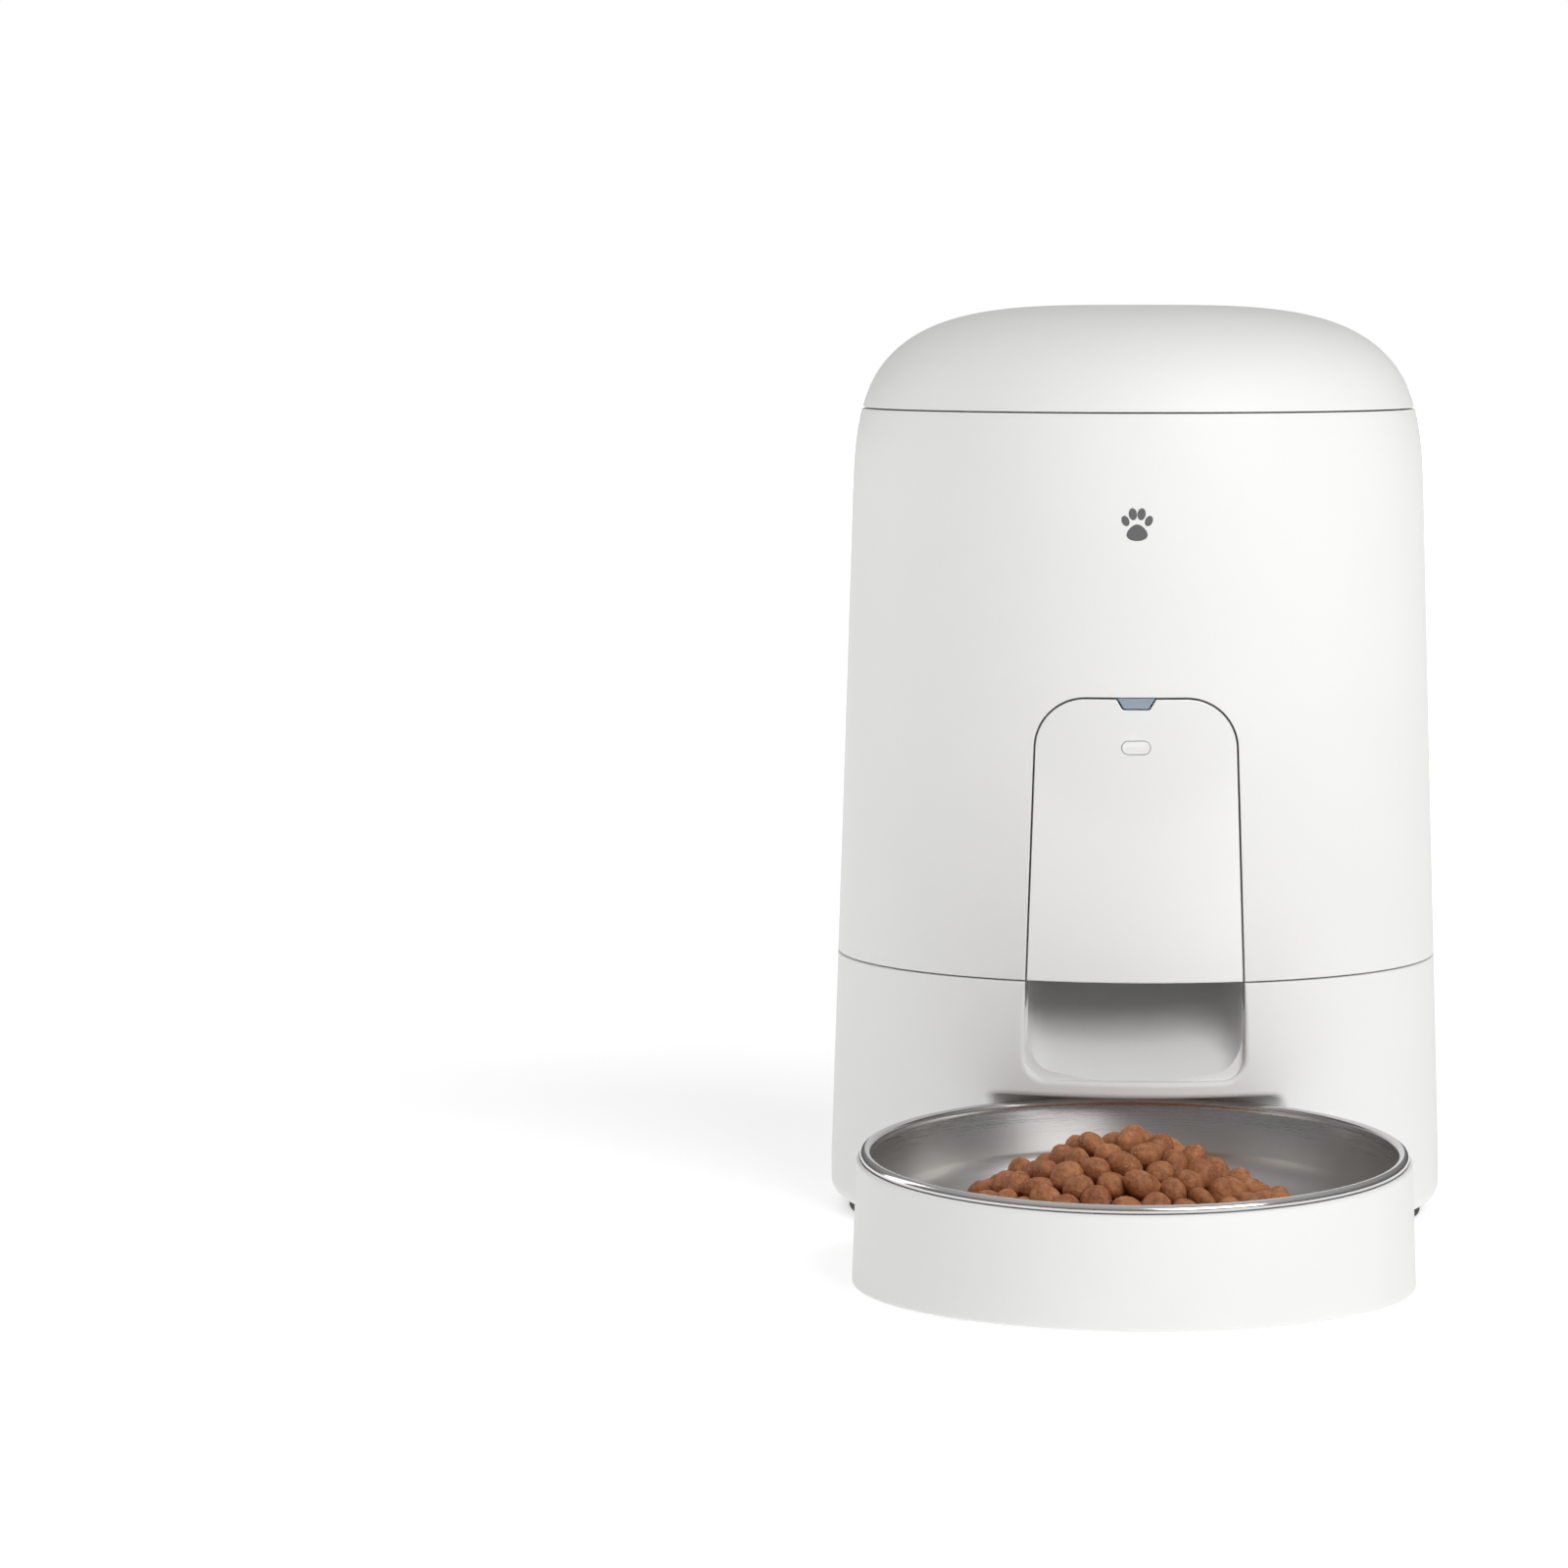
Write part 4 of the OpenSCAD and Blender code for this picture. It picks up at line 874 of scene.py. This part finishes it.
BASE_FRONT, BASE_REAR = 52, 20
plate_r = BODY_R - 11 + 0.3
groove = (BODY_R - 9.6, BODY_R - 4.9)
floor_top = FOOT_H + WALL
under = np.array([
    [plate_r, FOOT_H], [groove[0], FOOT_H], [groove[0], FOOT_H + 1.05],
    [groove[1], FOOT_H + 1.05], [groove[1], FOOT_H + 0.01]])
edge_centre = (BODY_R - EDGE_R, FOOT_H + EDGE_R)
edge_out = arc(edge_centre, EDGE_R, -88.6, 0, 14)
edge_in = arc(edge_centre, EDGE_R - WALL, -88.6, 0, 14)
side_z = np.linspace(FOOT_H + EDGE_R + 1, SEAM_Z - SEAM_GAP / 2, 120)
side_r = np.minimum(outline(side_z), BODY_R)
base_out = np.vstack([under, edge_out, np.column_stack([side_r, side_z])])
over = np.column_stack([np.linspace(plate_r, edge_in[0, 0], 6)[:5], np.full(5, floor_top)])
base_in = np.vstack([over, edge_in, np.column_stack([side_r - WALL, side_z])])
base_v = np.r_[0, np.cumsum(np.hypot(*np.diff(base_out, axis=0).T))]
base_wall = Wall(base_v, base_out, base_in, WALL, BASE_FRONT, BASE_REAR, follow_recess)


def v_of(z):
    """Length along the base's wall at a height on its side."""
    return np.interp(z, base_out[5:, 1], base_v[5:])


v_top = base_v[-1]
roof_v = v_of(RECESS_TOP)
notch_corner = 2.5
side_v = np.r_[base_v[1:18], np.linspace(base_v[18], roof_v - notch_corner, 9)[1:-1]]
side_x = recess_half_width(base_wall.at(side_v, 0)[0])
top_x = recess_half_width(outline(RECESS_TOP))
corner = arc((-top_x + notch_corner, roof_v - notch_corner), notch_corner, 180, 90, 8)
notch_left = np.vstack([
    [[-BASE_FRONT, 0], [-recess_half_width(plate_r), 0]], np.column_stack([-side_x, side_v]),
    corner])
notch = dense(np.vstack([notch_left, (notch_left * (-1, 1))[::-1]]), 2.5)
notch_round = np.clip((notch[:, 1] - 2) / 8, 0, 1) * 1.0 + 0.3

mouth_v = v_of(MOUTH_Z)
mouth_right = np.vstack([
    [[BASE_FRONT, v_top], [MOUTH_W / 2, v_top]],
    arc((MOUTH_W / 2 - MOUTH_CORNER, mouth_v + MOUTH_CORNER), MOUTH_CORNER, 0, -90, 14)])
mouth = dense(np.vstack([mouth_right, (mouth_right * (-1, 1))[::-1]]), 2.0)
mouth_round = 0.35 + 1.1 * np.clip((v_top - mouth[:, 1] - 0.5) / 12, 0, 1) ** 0.7
base_rows = np.r_[base_v[1:18], np.linspace(base_v[18], v_top - 1.0, 28)]
base_rows = base_rows[base_rows > 0.6]
socket_v = v_of((socket_low[2] + socket_high[2]) / 2)
inlet = no_repeats(dense(pill(10.6, 4.6, socket_v), 1.5)[:-1])
grids, fills = cut_wall(base_wall, (notch, notch_round), (mouth, mouth_round), base_rows,
                        np.linspace(-BASE_FRONT, BASE_FRONT, 43), [inlet])
for centre in ring_points(71.5, [8, 172, 67, 113, 225, 315]):
    tie, caps = rib(centre, outline(SEAM_Z - 9) - 1.2, floor_top + 1, SEAM_Z - 9.6)
    grids += [post(centre, floor_top + 0.2, SEAM_Z - 9.1), tie]
    fills += caps
place("base_shell", make_mesh("base_shell", grids, fills), white_matte,
      "housing", ["base_housing"])

# %% [markdown]
# ## Lid
# The lid is a turned shell: one closed profile runs over the dome, round the small edge at the seam
# and back under the dome.


# %% Lid
def dome_profile(inset, low_z, n=90):
    """The dome from its pole down to low_z, in even steps of the superellipse's own angle."""
    rise = (low_z - DOME_Z) / (BODY_H - inset - DOME_Z)
    a = np.linspace(math.pi / 2, math.asin(rise ** (DOME_POWER / 2)), n)
    z = DOME_Z + (BODY_H - inset - DOME_Z) * np.sin(a) ** (2 / DOME_POWER)
    taper = BODY_R - TAPER * (z - WIDEST_Z) - inset
    radius = taper * np.cos(a) ** (2 / DOME_POWER)
    radius[0] = 0
    return np.column_stack([radius, z])


into, depth = edge_rows(0.35)
rim_z = (LID_Z + into)[::-1]
rim = np.column_stack([outline(rim_z) - depth[::-1], rim_z])
inside = dome_profile(WALL, LID_Z)[::-1]
lid_profile = np.vstack([dome_profile(0, rim_z[0] + 0.4), rim, inside])
place("lid_dome", make_mesh("lid_dome", [turned(lid_profile, segments=256)]), white_matte,
      "lid", ["lid_shell"])

# %% [markdown]
# ## Tray
# The tray is round in plan, but its top is cut by a plane that leans forward. Each point of the
# profile therefore has a height above the floor and a share of the lean: 0 at the floor, 1 at the
# rim. The height of the leaning plane is worked out at the point's own place.

# %% Tray
TRAY_TOP_R = TRAY_R - 1.1
LIP_CENTRE = TRAY_TOP_R - 2.35
LIP_R = 1.45


def rim_plane(x, y):
    """Height of the middle plane of the bowl's rim over a point."""
    return RIM_H + (y - BOWL_Y) * math.tan(BOWL_TILT) + 0 * x


def leaning(profile, segments=224):
    """A turned surface from (radius, height, share): share 1 measures height from the rim plane."""
    a = np.linspace(0, 2 * math.pi, segments + 1)
    a[-1] = 0
    radius, height, share = (profile[:, i:i + 1] for i in range(3))
    x, y = radius * np.sin(a), BOWL_Y - radius * np.cos(a)
    z = height * (1 - share) + (rim_plane(x, y) + height) * share
    return np.stack([x, y, z], axis=-1)


def with_share(path, share):
    return np.column_stack([path, np.broadcast_to(share, len(path))])


foot_edge = arc((TRAY_R - 0.8, TRAY_FLOOR + 0.8), 0.8, -90, 0, 6)
outer_climb = np.linspace(0.03, 1, 22)
top_edge = arc((TRAY_TOP_R - 0.9, -1.6), 0.9, 0, 90, 8)
seat_r = LIP_CENTRE + LIP_R + 0.35
tray_profile = np.vstack([
    [[0, TRAY_FLOOR, 0]],
    with_share(foot_edge, 0),
    np.column_stack([TRAY_R + (TRAY_TOP_R - TRAY_R) * outer_climb,
                     (TRAY_FLOOR + 0.8) * (1 - outer_climb) - 1.6 * outer_climb, outer_climb]),
    with_share(top_edge, 1),
    [[seat_r, -0.7, 1], [seat_r, -1.75, 1], [TRAY_R - 3.5, -1.75, 1]],
    np.column_stack([TRAY_R - 3.5 + 1.0 * outer_climb,
                     -1.8 * (1 - outer_climb) + (TRAY_FLOOR + 3) * outer_climb,
                     1 - outer_climb]),
    [[TRAY_R - 2.6, TRAY_FLOOR + 2.2, 0], [0, TRAY_FLOOR + 2.2, 0]],
])
place("tray_shell", make_mesh("tray_shell", [leaning(tray_profile)]), white_matte,
      "tray", ["food_tray"])

# %% [markdown]
# ## Bowl
# The bowl is spun steel with a rolled lip. It is turned about its own axis and then leaned forward,
# so its rings stay true circles. The attribute "polish" marks the lip.

# %% Bowl
BOWL_DEPTH = 25
STEEL = 0.8


def bowl_frame(points):
    """From the bowl's own axes to the feeder's: leaned forward, then moved to the rim's middle."""
    x, y, z = np.moveaxis(points, -1, 0)
    c, s = math.cos(BOWL_TILT), math.sin(BOWL_TILT)
    return np.stack([x, BOWL_Y + y * c - z * s, RIM_H + y * s + z * c], axis=-1)


KNEE_R = 15
wall_top_r = LIP_CENTRE - LIP_R
knee_x = wall_top_r + STEEL - 4 - KNEE_R
knee = (knee_x, -BOWL_DEPTH + KNEE_R)
bowl_inside = np.vstack([
    np.column_stack([np.linspace(0, knee_x, 20)[:-1], np.full(19, -BOWL_DEPTH + STEEL)]),
    arc(knee, KNEE_R - STEEL, -90, -6, 30),
    [[wall_top_r - 0.1, -1.2]],
])
bowl_lip = arc((LIP_CENTRE, 0), LIP_R, 190, -80, 40)
bowl_outside = np.vstack([
    [[LIP_CENTRE - 0.5, -LIP_R + 0.3], [wall_top_r + 0.7, -2.4]],
    arc(knee, KNEE_R, -6, -90, 30),
    [[0, -BOWL_DEPTH]],
])
bowl_profile = np.vstack([bowl_inside, bowl_lip, bowl_outside])
bowl_mesh = make_mesh("bowl", [bowl_frame(turned(bowl_profile, segments=256))], crisp=60)
where = np.empty(len(bowl_mesh.vertices) * 3, np.float32)
bowl_mesh.vertices.foreach_get("co", where)
where = where.reshape(-1, 3) / MM
reach = np.hypot(where[:, 0], (where[:, 1] - BOWL_Y) / math.cos(BOWL_TILT))
polish = bowl_mesh.attributes.new("polish", "FLOAT", "POINT")
polish.data.foreach_set("value", np.clip((reach - wall_top_r + 0.4) / 0.8, 0, 1).astype(np.float32))
place("bowl", bowl_mesh, steel, "tray", ["steel_bowl"])

# %% [markdown]
# ## Front cover and key
# The cover is a glossy panel that follows the body's curve. It has a notch for the status lens in
# its top edge and a slot for the feed key. Its outline and the slot are both cut from the sheet, so
# both get the same small rounded edge.

# %% Cover
LENS_TOP, LENS_BOTTOM, LENS_H = 10.0, 7.6, 3.0
COVER_WALL = 2.2
KEY_Z = (key_low[2] + key_high[2]) / 2
KEY_W, KEY_H = key_high[0] - key_low[0], key_high[2] - key_low[2]


def lens_notch(grow, top):
    """The lens's outline below the height top, from right to left, with rounded lower corners."""
    x1, x2, z = LENS_TOP / 2 + grow, LENS_BOTTOM / 2 + grow, COVER_TOP - LENS_H - grow
    lower = arc((x2 - 1.0, z + 1.0), 1.0, -10, -90, 6)
    right = np.vstack([[[x1, top]], lower])
    return np.vstack([right, (right * (-1, 1))[::-1]])


cover_foot = SEAM_Z + SEAM_GAP / 2
cover_arch = arch_path(-COVER_GAP, cover_foot)
top_z = cover_arch[:, 1].max()
half = len(cover_arch) // 2
cover_loop = np.vstack([cover_arch[::-1][:half], lens_notch(0.3, top_z), cover_arch[::-1][half:]])
cover_loop = no_repeats(dense(np.vstack([cover_loop, cover_loop[:1]]), 1.5)[:-1])
key_loop = no_repeats(dense(pill(KEY_W + 0.5, KEY_H + 0.5, KEY_Z), 0.8)[:-1])
cover_profile_z = np.linspace(cover_foot - 1, COVER_TOP + 1, 200)
cover_wall = Wall(
    cover_profile_z,
    np.column_stack([outline(cover_profile_z), cover_profile_z]),
    np.column_stack([outline(cover_profile_z, COVER_WALL), cover_profile_z]), COVER_WALL, 45)
bands = [edge_band(loop, 0.3, closed=True) for loop in (cover_loop, key_loop)]
grids, fills = cut_sheet(cover_wall.front, COVER_WALL, bands, [], np.linspace(-30, 30, 41),
                         np.linspace(72, 150, 53), 0.5)
place("cover_panel", make_mesh("cover_panel", grids, fills), white_gloss,
      "front_cover", ["front_cover"])

# %% [markdown]
# ## Feed key
# The feed key fills the slot. Its edge is a low bead, so a finger finds it and the light draws its
# outline. A stem behind it reaches the switch. It is cut and wrapped like the cover, so that both
# lie in one surface, and only its edge rows differ: they rise over the bead.


# %% Feed key
def bead_band(loop):
    """A closed band whose rows rise from below the surface over a bead and settle on the face."""
    into = [0, 0.06, 0.18, 0.34, 0.5, 0.68, 0.9]
    depth = [0.3, 0.05, -0.1, -0.15, -0.1, -0.02, 0]
    rows = [np.column_stack([offset(loop, d, closed=True), np.full(len(loop), deep)])
            for d, deep in zip(into, depth)]
    band = np.stack(rows)
    return np.concatenate([band, band[:, :1]], axis=1)


key_edge = no_repeats(dense(pill(KEY_W + 0.3, KEY_H + 0.3, KEY_Z), 0.6)[:-1])[::-1]
grids, fills = cut_sheet(cover_wall.front, COVER_WALL, [bead_band(key_edge)], [],
                         np.linspace(-4, 4, 13), np.linspace(KEY_Z - 2, KEY_Z + 2, 7), 0.3)
stem = np.array([[0, 0], [1.1, 0], [1.1, 1], [0, 1]], float)
stem_y = np.array([-(outline(KEY_Z) - COVER_WALL - 0.05), key_high[1]])
stem_grid = turned(stem, segments=24)
stem_grid = np.stack([stem_grid[..., 0], stem_y[0] + stem_grid[..., 2] * (stem_y[1] - stem_y[0]),
                      KEY_Z + stem_grid[..., 1]], axis=-1)
place("key_cap", make_mesh("key_cap", grids + [stem_grid], fills), white_gloss,
      "feed_key", ["feed_key"])

# %% [markdown]
# ## Status lens
# A block of clear plastic that carries the light of one LED to the cover's top edge. It could be a
# plain wedge, but cut from the same outline as the cover's notch it keeps one even gap.

# %% Status lens
LENS_DEEP = 7.5
lens_side = lens_notch(0, COVER_TOP - 0.2)
lens_loop = no_repeats(dense(np.vstack([lens_side[::-1], lens_side[-1:]]), 1.3)[:-1])
lens_wall = Wall(cover_profile_z,
                 np.column_stack([outline(cover_profile_z, 0.15), cover_profile_z]),
                 np.column_stack([outline(cover_profile_z, LENS_DEEP), cover_profile_z]),
                 LENS_DEEP, 45)
grids, fills = cut_sheet(lens_wall.front, LENS_DEEP, [edge_band(lens_loop, 0.25, closed=True)], [],
                         np.linspace(-5, 5, 11), np.linspace(COVER_TOP - 3, COVER_TOP, 5), 0.3)
place("lens_block", make_mesh("lens_block", grids, fills), lens_acrylic,
      "housing", ["status_lens"])

# %% [markdown]
# ## Chute
# A scoop with rounded corners that climbs from the mouth to the rotor. Its section is a U square
# to the slope. At the front it ends against the wall round the mouth, further up behind the cover's
# pocket, and at the top it is cut level.


# %% Chute
CHUTE_HALF = MOUTH_W / 2 - 0.7
chute_back = chute_high[1] - 2.4
lip_y = -(float(outline(MOUTH_Z)) - WALL - 0.4)
slope = math.atan2(chute_high[2] - MOUTH_Z, chute_back - lip_y)


def u_section(half, corner, walls=9):
    """Half of a U and its mirror image: x, height within the corner, and share up the wall."""
    share = np.linspace(1, 0, walls)[:-1]
    side = np.column_stack([np.full(len(share), -half), np.full(len(share), corner), share])
    bend = arc((-half + corner, corner), corner, 180, 270, 12)
    floor_x = np.linspace(-half + corner, 0, 12)[1:]
    left = np.vstack([side, np.column_stack([bend, np.zeros(12)]),
                      np.column_stack([floor_x, np.zeros(11), np.zeros(11)])])
    return np.vstack([left, (left * (-1, 1, 1))[-2::-1]])


def on_slope(section, t, sink=0.0):
    """Points at distances t up the slope; walls reach the level of the chute's top."""
    room = (chute_high[2] - MOUTH_Z - t * math.sin(slope)) / math.cos(slope)
    corner = section[:, 1].max()
    height = section[:, 1] + section[:, 2] * np.maximum(room - corner, 0)
    height = np.minimum(height, np.maximum(room, 0)) - sink
    y = lip_y + t * math.cos(slope) - height * math.sin(slope)
    z = MOUTH_Z + t * math.sin(slope) + height * math.cos(slope)
    return np.stack([section[:, 0] + 0 * t, y, z], axis=-1)


def chute_front_radius(z):
    """The inner face of the wall round the mouth, and the back of the cover's pocket above it."""
    above = np.clip((z - SEAM_Z + 8.0) / 0.6, 0, 1)
    return outline(z) - WALL - above * 5.2


def front_ends(section, sink=0.0):
    """Distance up the slope at which each line of the section meets the front, by bisection."""
    near, far = np.full(len(section), -30.0), np.full(len(section), 60.0)
    for _ in range(40):
        middle = (near + far) / 2
        x, y, z = on_slope(section, middle, sink).T
        outside = -y > np.sqrt(chute_front_radius(z)**2 - x**2)
        near, far = np.where(outside, middle, near), np.where(outside, far, middle)
    return near


inner_u, outer_u = u_section(CHUTE_HALF, MOUTH_CORNER), u_section(CHUTE_HALF + 2, MOUTH_CORNER + 2)
t_end = (chute_high[2] - MOUTH_Z) / math.sin(slope) - 0.5
climb = np.linspace(0, 1, 40)[:, None] ** 1.3
inner_t, outer_t = front_ends(inner_u), front_ends(outer_u, 2.0)
inner_skin = on_slope(inner_u, inner_t + (t_end - inner_t) * climb)
outer_skin = on_slope(outer_u, outer_t + (t_end - outer_t) * climb, 2.0)
apron = inner_skin[0].copy()
bend = inner_u[:, 2] == 0
apron[:, 0] *= (CHUTE_HALF + 1.0) / CHUTE_HALF
rise = apron[:, 2].copy()
apron[bend, 2] = MOUTH_Z - 0.3 + inner_u[bend, 1]
apron[~bend, 2] += apron[bend, 2].max() - rise[bend].max()
apron[:, 1] = -np.sqrt(chute_front_radius(apron[:, 2])**2 - apron[:, 0]**2)
outer_skin[0] = apron
grids = [inner_skin, outer_skin]
for k in (0, -1):
    grids.append(np.stack([inner_skin[k], outer_skin[k]]))
    grids.append(np.stack([inner_skin[:, k], outer_skin[:, k]]))
place("chute_scoop", make_mesh("chute_scoop", grids), white_matte, "housing",
      ["chute"])

# %% [markdown]
# ## Paw mark
# A small paw, printed in grey on the housing where such products carry their maker's sign: one
# pad and four toes, each a thin disc wrapped round the body.


# %% Paw mark
def printed_disc(x, z, wide, high, turn, squeeze=0.0):
    """A thin oval on the body's surface. squeeze pulls its upper half narrower, like an egg."""
    share = np.linspace(0, 1, 9)[:, None]
    a = np.linspace(0, 2 * math.pi, 49)
    a[-1] = 0
    u = share * wide * np.cos(a) * (1 - squeeze * np.sin(a) * share)
    w = share * high * np.sin(a)
    c, s = math.cos(math.radians(turn)), math.sin(math.radians(turn))
    px, pz = x + u * c - w * s, z + u * s + w * c
    faces = [np.stack([px, -np.sqrt((outline(pz) + lift)**2 - px**2), pz], axis=-1)
             for lift in (0.03, -0.02)]
    return faces + [np.stack([faces[0][-1], faces[1][-1]])]


MARK_Z = 194.0
toes = [(-3.1, 1.1, 1.0, 1.45, 24), (-1.15, 2.9, 1.1, 1.6, 8),
        (1.15, 2.9, 1.1, 1.6, -8), (3.1, 1.1, 1.0, 1.45, -24)]
grids = printed_disc(0, MARK_Z - 2.0, 2.7, 2.2, 0, 0.3)
for x, z, wide, high, turn in toes:
    grids += printed_disc(x, MARK_Z + z, wide, high, turn)
place("paw_mark", make_mesh("paw_mark", grids), grey_ink, "housing")

# %% [markdown]
# ## Food
# Dry food lies in a heap that leans towards the front. The pieces are dealt out over the heap's
# surface in two layers and then pushed apart where they are too close, a little at a time. Each
# one is a ball squeezed along three axes, with soft lumps.

# %% Deal out the pieces
rng = np.random.default_rng(7)
KIBBLE_R = 4.3
HEAP_X, HEAP_Y, HEAP_TOP = -2.0, BOWL_Y - 6, 37.5


def bowl_floor(x, y):
    """Height of the bowl's inside over a point: its flat floor, then the knee's quarter circle."""
    reach = np.hypot(x, y - BOWL_Y)
    out = np.clip(reach - knee_x, 0, KNEE_R - STEEL)
    bend = KNEE_R - STEEL - np.sqrt((KNEE_R - STEEL)**2 - out**2)
    beyond = np.maximum(reach - knee_x - (KNEE_R - STEEL), 0) * 10
    return rim_plane(x, y) - BOWL_DEPTH + STEEL + bend + beyond


def heap_top(x, y):
    """A cone with a rounded tip, wider across than it is deep, on the bowl's floor."""
    away = np.hypot((x - HEAP_X) / 53, (y - HEAP_Y) / 47)
    return HEAP_TOP - 27.5 * (np.sqrt(away**2 + 0.03) - math.sqrt(0.03)) * 1.02


def deal(spacing, sink):
    """Points of a jittered triangle grid over the heap, a given depth below its surface."""
    i, j = np.meshgrid(np.arange(-9, 10), np.arange(-9, 10))
    x = HEAP_X + (i + 0.5 * (j % 2)) * spacing + rng.uniform(-1.5, 1.5, i.shape)
    y = HEAP_Y + j * spacing * 0.866 + rng.uniform(-1.5, 1.5, i.shape)
    x, y = x.ravel(), y.ravel()
    z = heap_top(x, y) - sink + rng.uniform(-1.0, 1.0, x.shape)
    keep = (z > bowl_floor(x, y) + 2.0) & (np.hypot(x, y - BOWL_Y) < knee_x + 13)
    return np.column_stack([x, y, z])[keep]


spots = np.vstack([deal(7.7, 0.0), deal(8.0, 5.6)])
strays = np.array([[-56.0, -160.0], [-50.0, -170.0], [-57.0, -148.0], [-44.0, -176.0],
                   [51.0, -160.0], [47.0, -168.0], [-30.0, -186.0], [28.0, -187.0]])
spots = np.vstack([spots, np.column_stack([strays, bowl_floor(*strays.T) + 3.5])])
for _ in range(60):
    gap = spots[:, None] - spots
    apart = np.linalg.norm(gap, axis=-1) + np.eye(len(spots)) * 99
    push = np.clip(1.72 * KIBBLE_R - apart, 0, None) / apart * 0.3
    spots += (gap * push[..., None]).sum(axis=1)
    reach = np.hypot(spots[:, 0], spots[:, 1] - BOWL_Y)
    pull = np.minimum(1, (wall_top_r - 5.5) / reach)
    spots[:, 0] *= pull
    spots[:, 1] = BOWL_Y + (spots[:, 1] - BOWL_Y) * pull
    spots[:, 2] = np.maximum(spots[:, 2], bowl_floor(spots[:, 0], spots[:, 1]) + 3.4)
print(len(spots), "pieces of food")


# %% Shape the pieces
def ball(n=4):
    """A cube's surface, n by n faces a side, blown up to a ball: six grids that share edges."""
    step = np.tan(np.linspace(-1, 1, n + 1) * math.pi / 4)
    u, v = np.meshgrid(step, step)
    one = np.ones_like(u)
    sides = [np.stack(s, axis=-1) for s in (
        (u, v, one), (v, u, -one), (one, u, v), (-one, v, u), (v, one, u), (u, -one, v))]
    return [side / np.linalg.norm(side, axis=-1, keepdims=True) for side in sides]


def random_turns(count):
    """Rotation matrices from random unit quaternions."""
    q = rng.normal(size=(count, 4))
    w, x, y, z = (q / np.linalg.norm(q, axis=1, keepdims=True)).T
    return np.array([
        [1 - 2 * (y*y + z*z), 2 * (x*y - z*w), 2 * (x*z + y*w)],
        [2 * (x*y + z*w), 1 - 2 * (x*x + z*z), 2 * (y*z - x*w)],
        [2 * (x*z - y*w), 2 * (y*z + x*w), 1 - 2 * (x*x + y*y)]]).transpose(2, 0, 1)


directions = np.concatenate([side.reshape(-1, 3) for side in ball()])
count = len(spots)
radii = KIBBLE_R * rng.uniform((0.92, 0.84, 0.68), (1.16, 1.02, 0.88), (count, 3))
axes = rng.normal(size=(count, 4, 3))
axes /= np.linalg.norm(axes, axis=-1, keepdims=True)
phase = rng.uniform(0, 2 * math.pi, (count, 4, 1))
pitch = np.array([2.2, 2.8, 3.6, 5.0])[:, None]
lumps = (np.cos(pitch * (axes @ directions.T) + phase)
         * np.array([0.07, 0.05, 0.035, 0.02])[:, None]).sum(axis=1)
shape = directions * radii[:, None] * (1 + lumps)[..., None]
shape = np.einsum("kij,kvj->kvi", random_turns(count), shape) + spots[:, None]
side_size = len(directions) // 6
kibble_grids = [shape[k, i * side_size:(i + 1) * side_size].reshape(5, 5, 3)
                for k in range(count) for i in range(6)]
kibble_mesh = make_mesh("food", kibble_grids, crisp=180)
corners = np.empty(len(kibble_mesh.vertices) * 3, np.float32)
kibble_mesh.vertices.foreach_get("co", corners)
corners = corners.reshape(-1, 3) / MM
nearest = np.linalg.norm(corners[:, None] - spots, axis=-1).argmin(axis=1)
bake = kibble_mesh.attributes.new("bake", "FLOAT", "POINT")
bake.data.foreach_set("value", rng.uniform(0, 1, count)[nearest].astype(np.float32))
place("food", kibble_mesh, kibble, "tray")
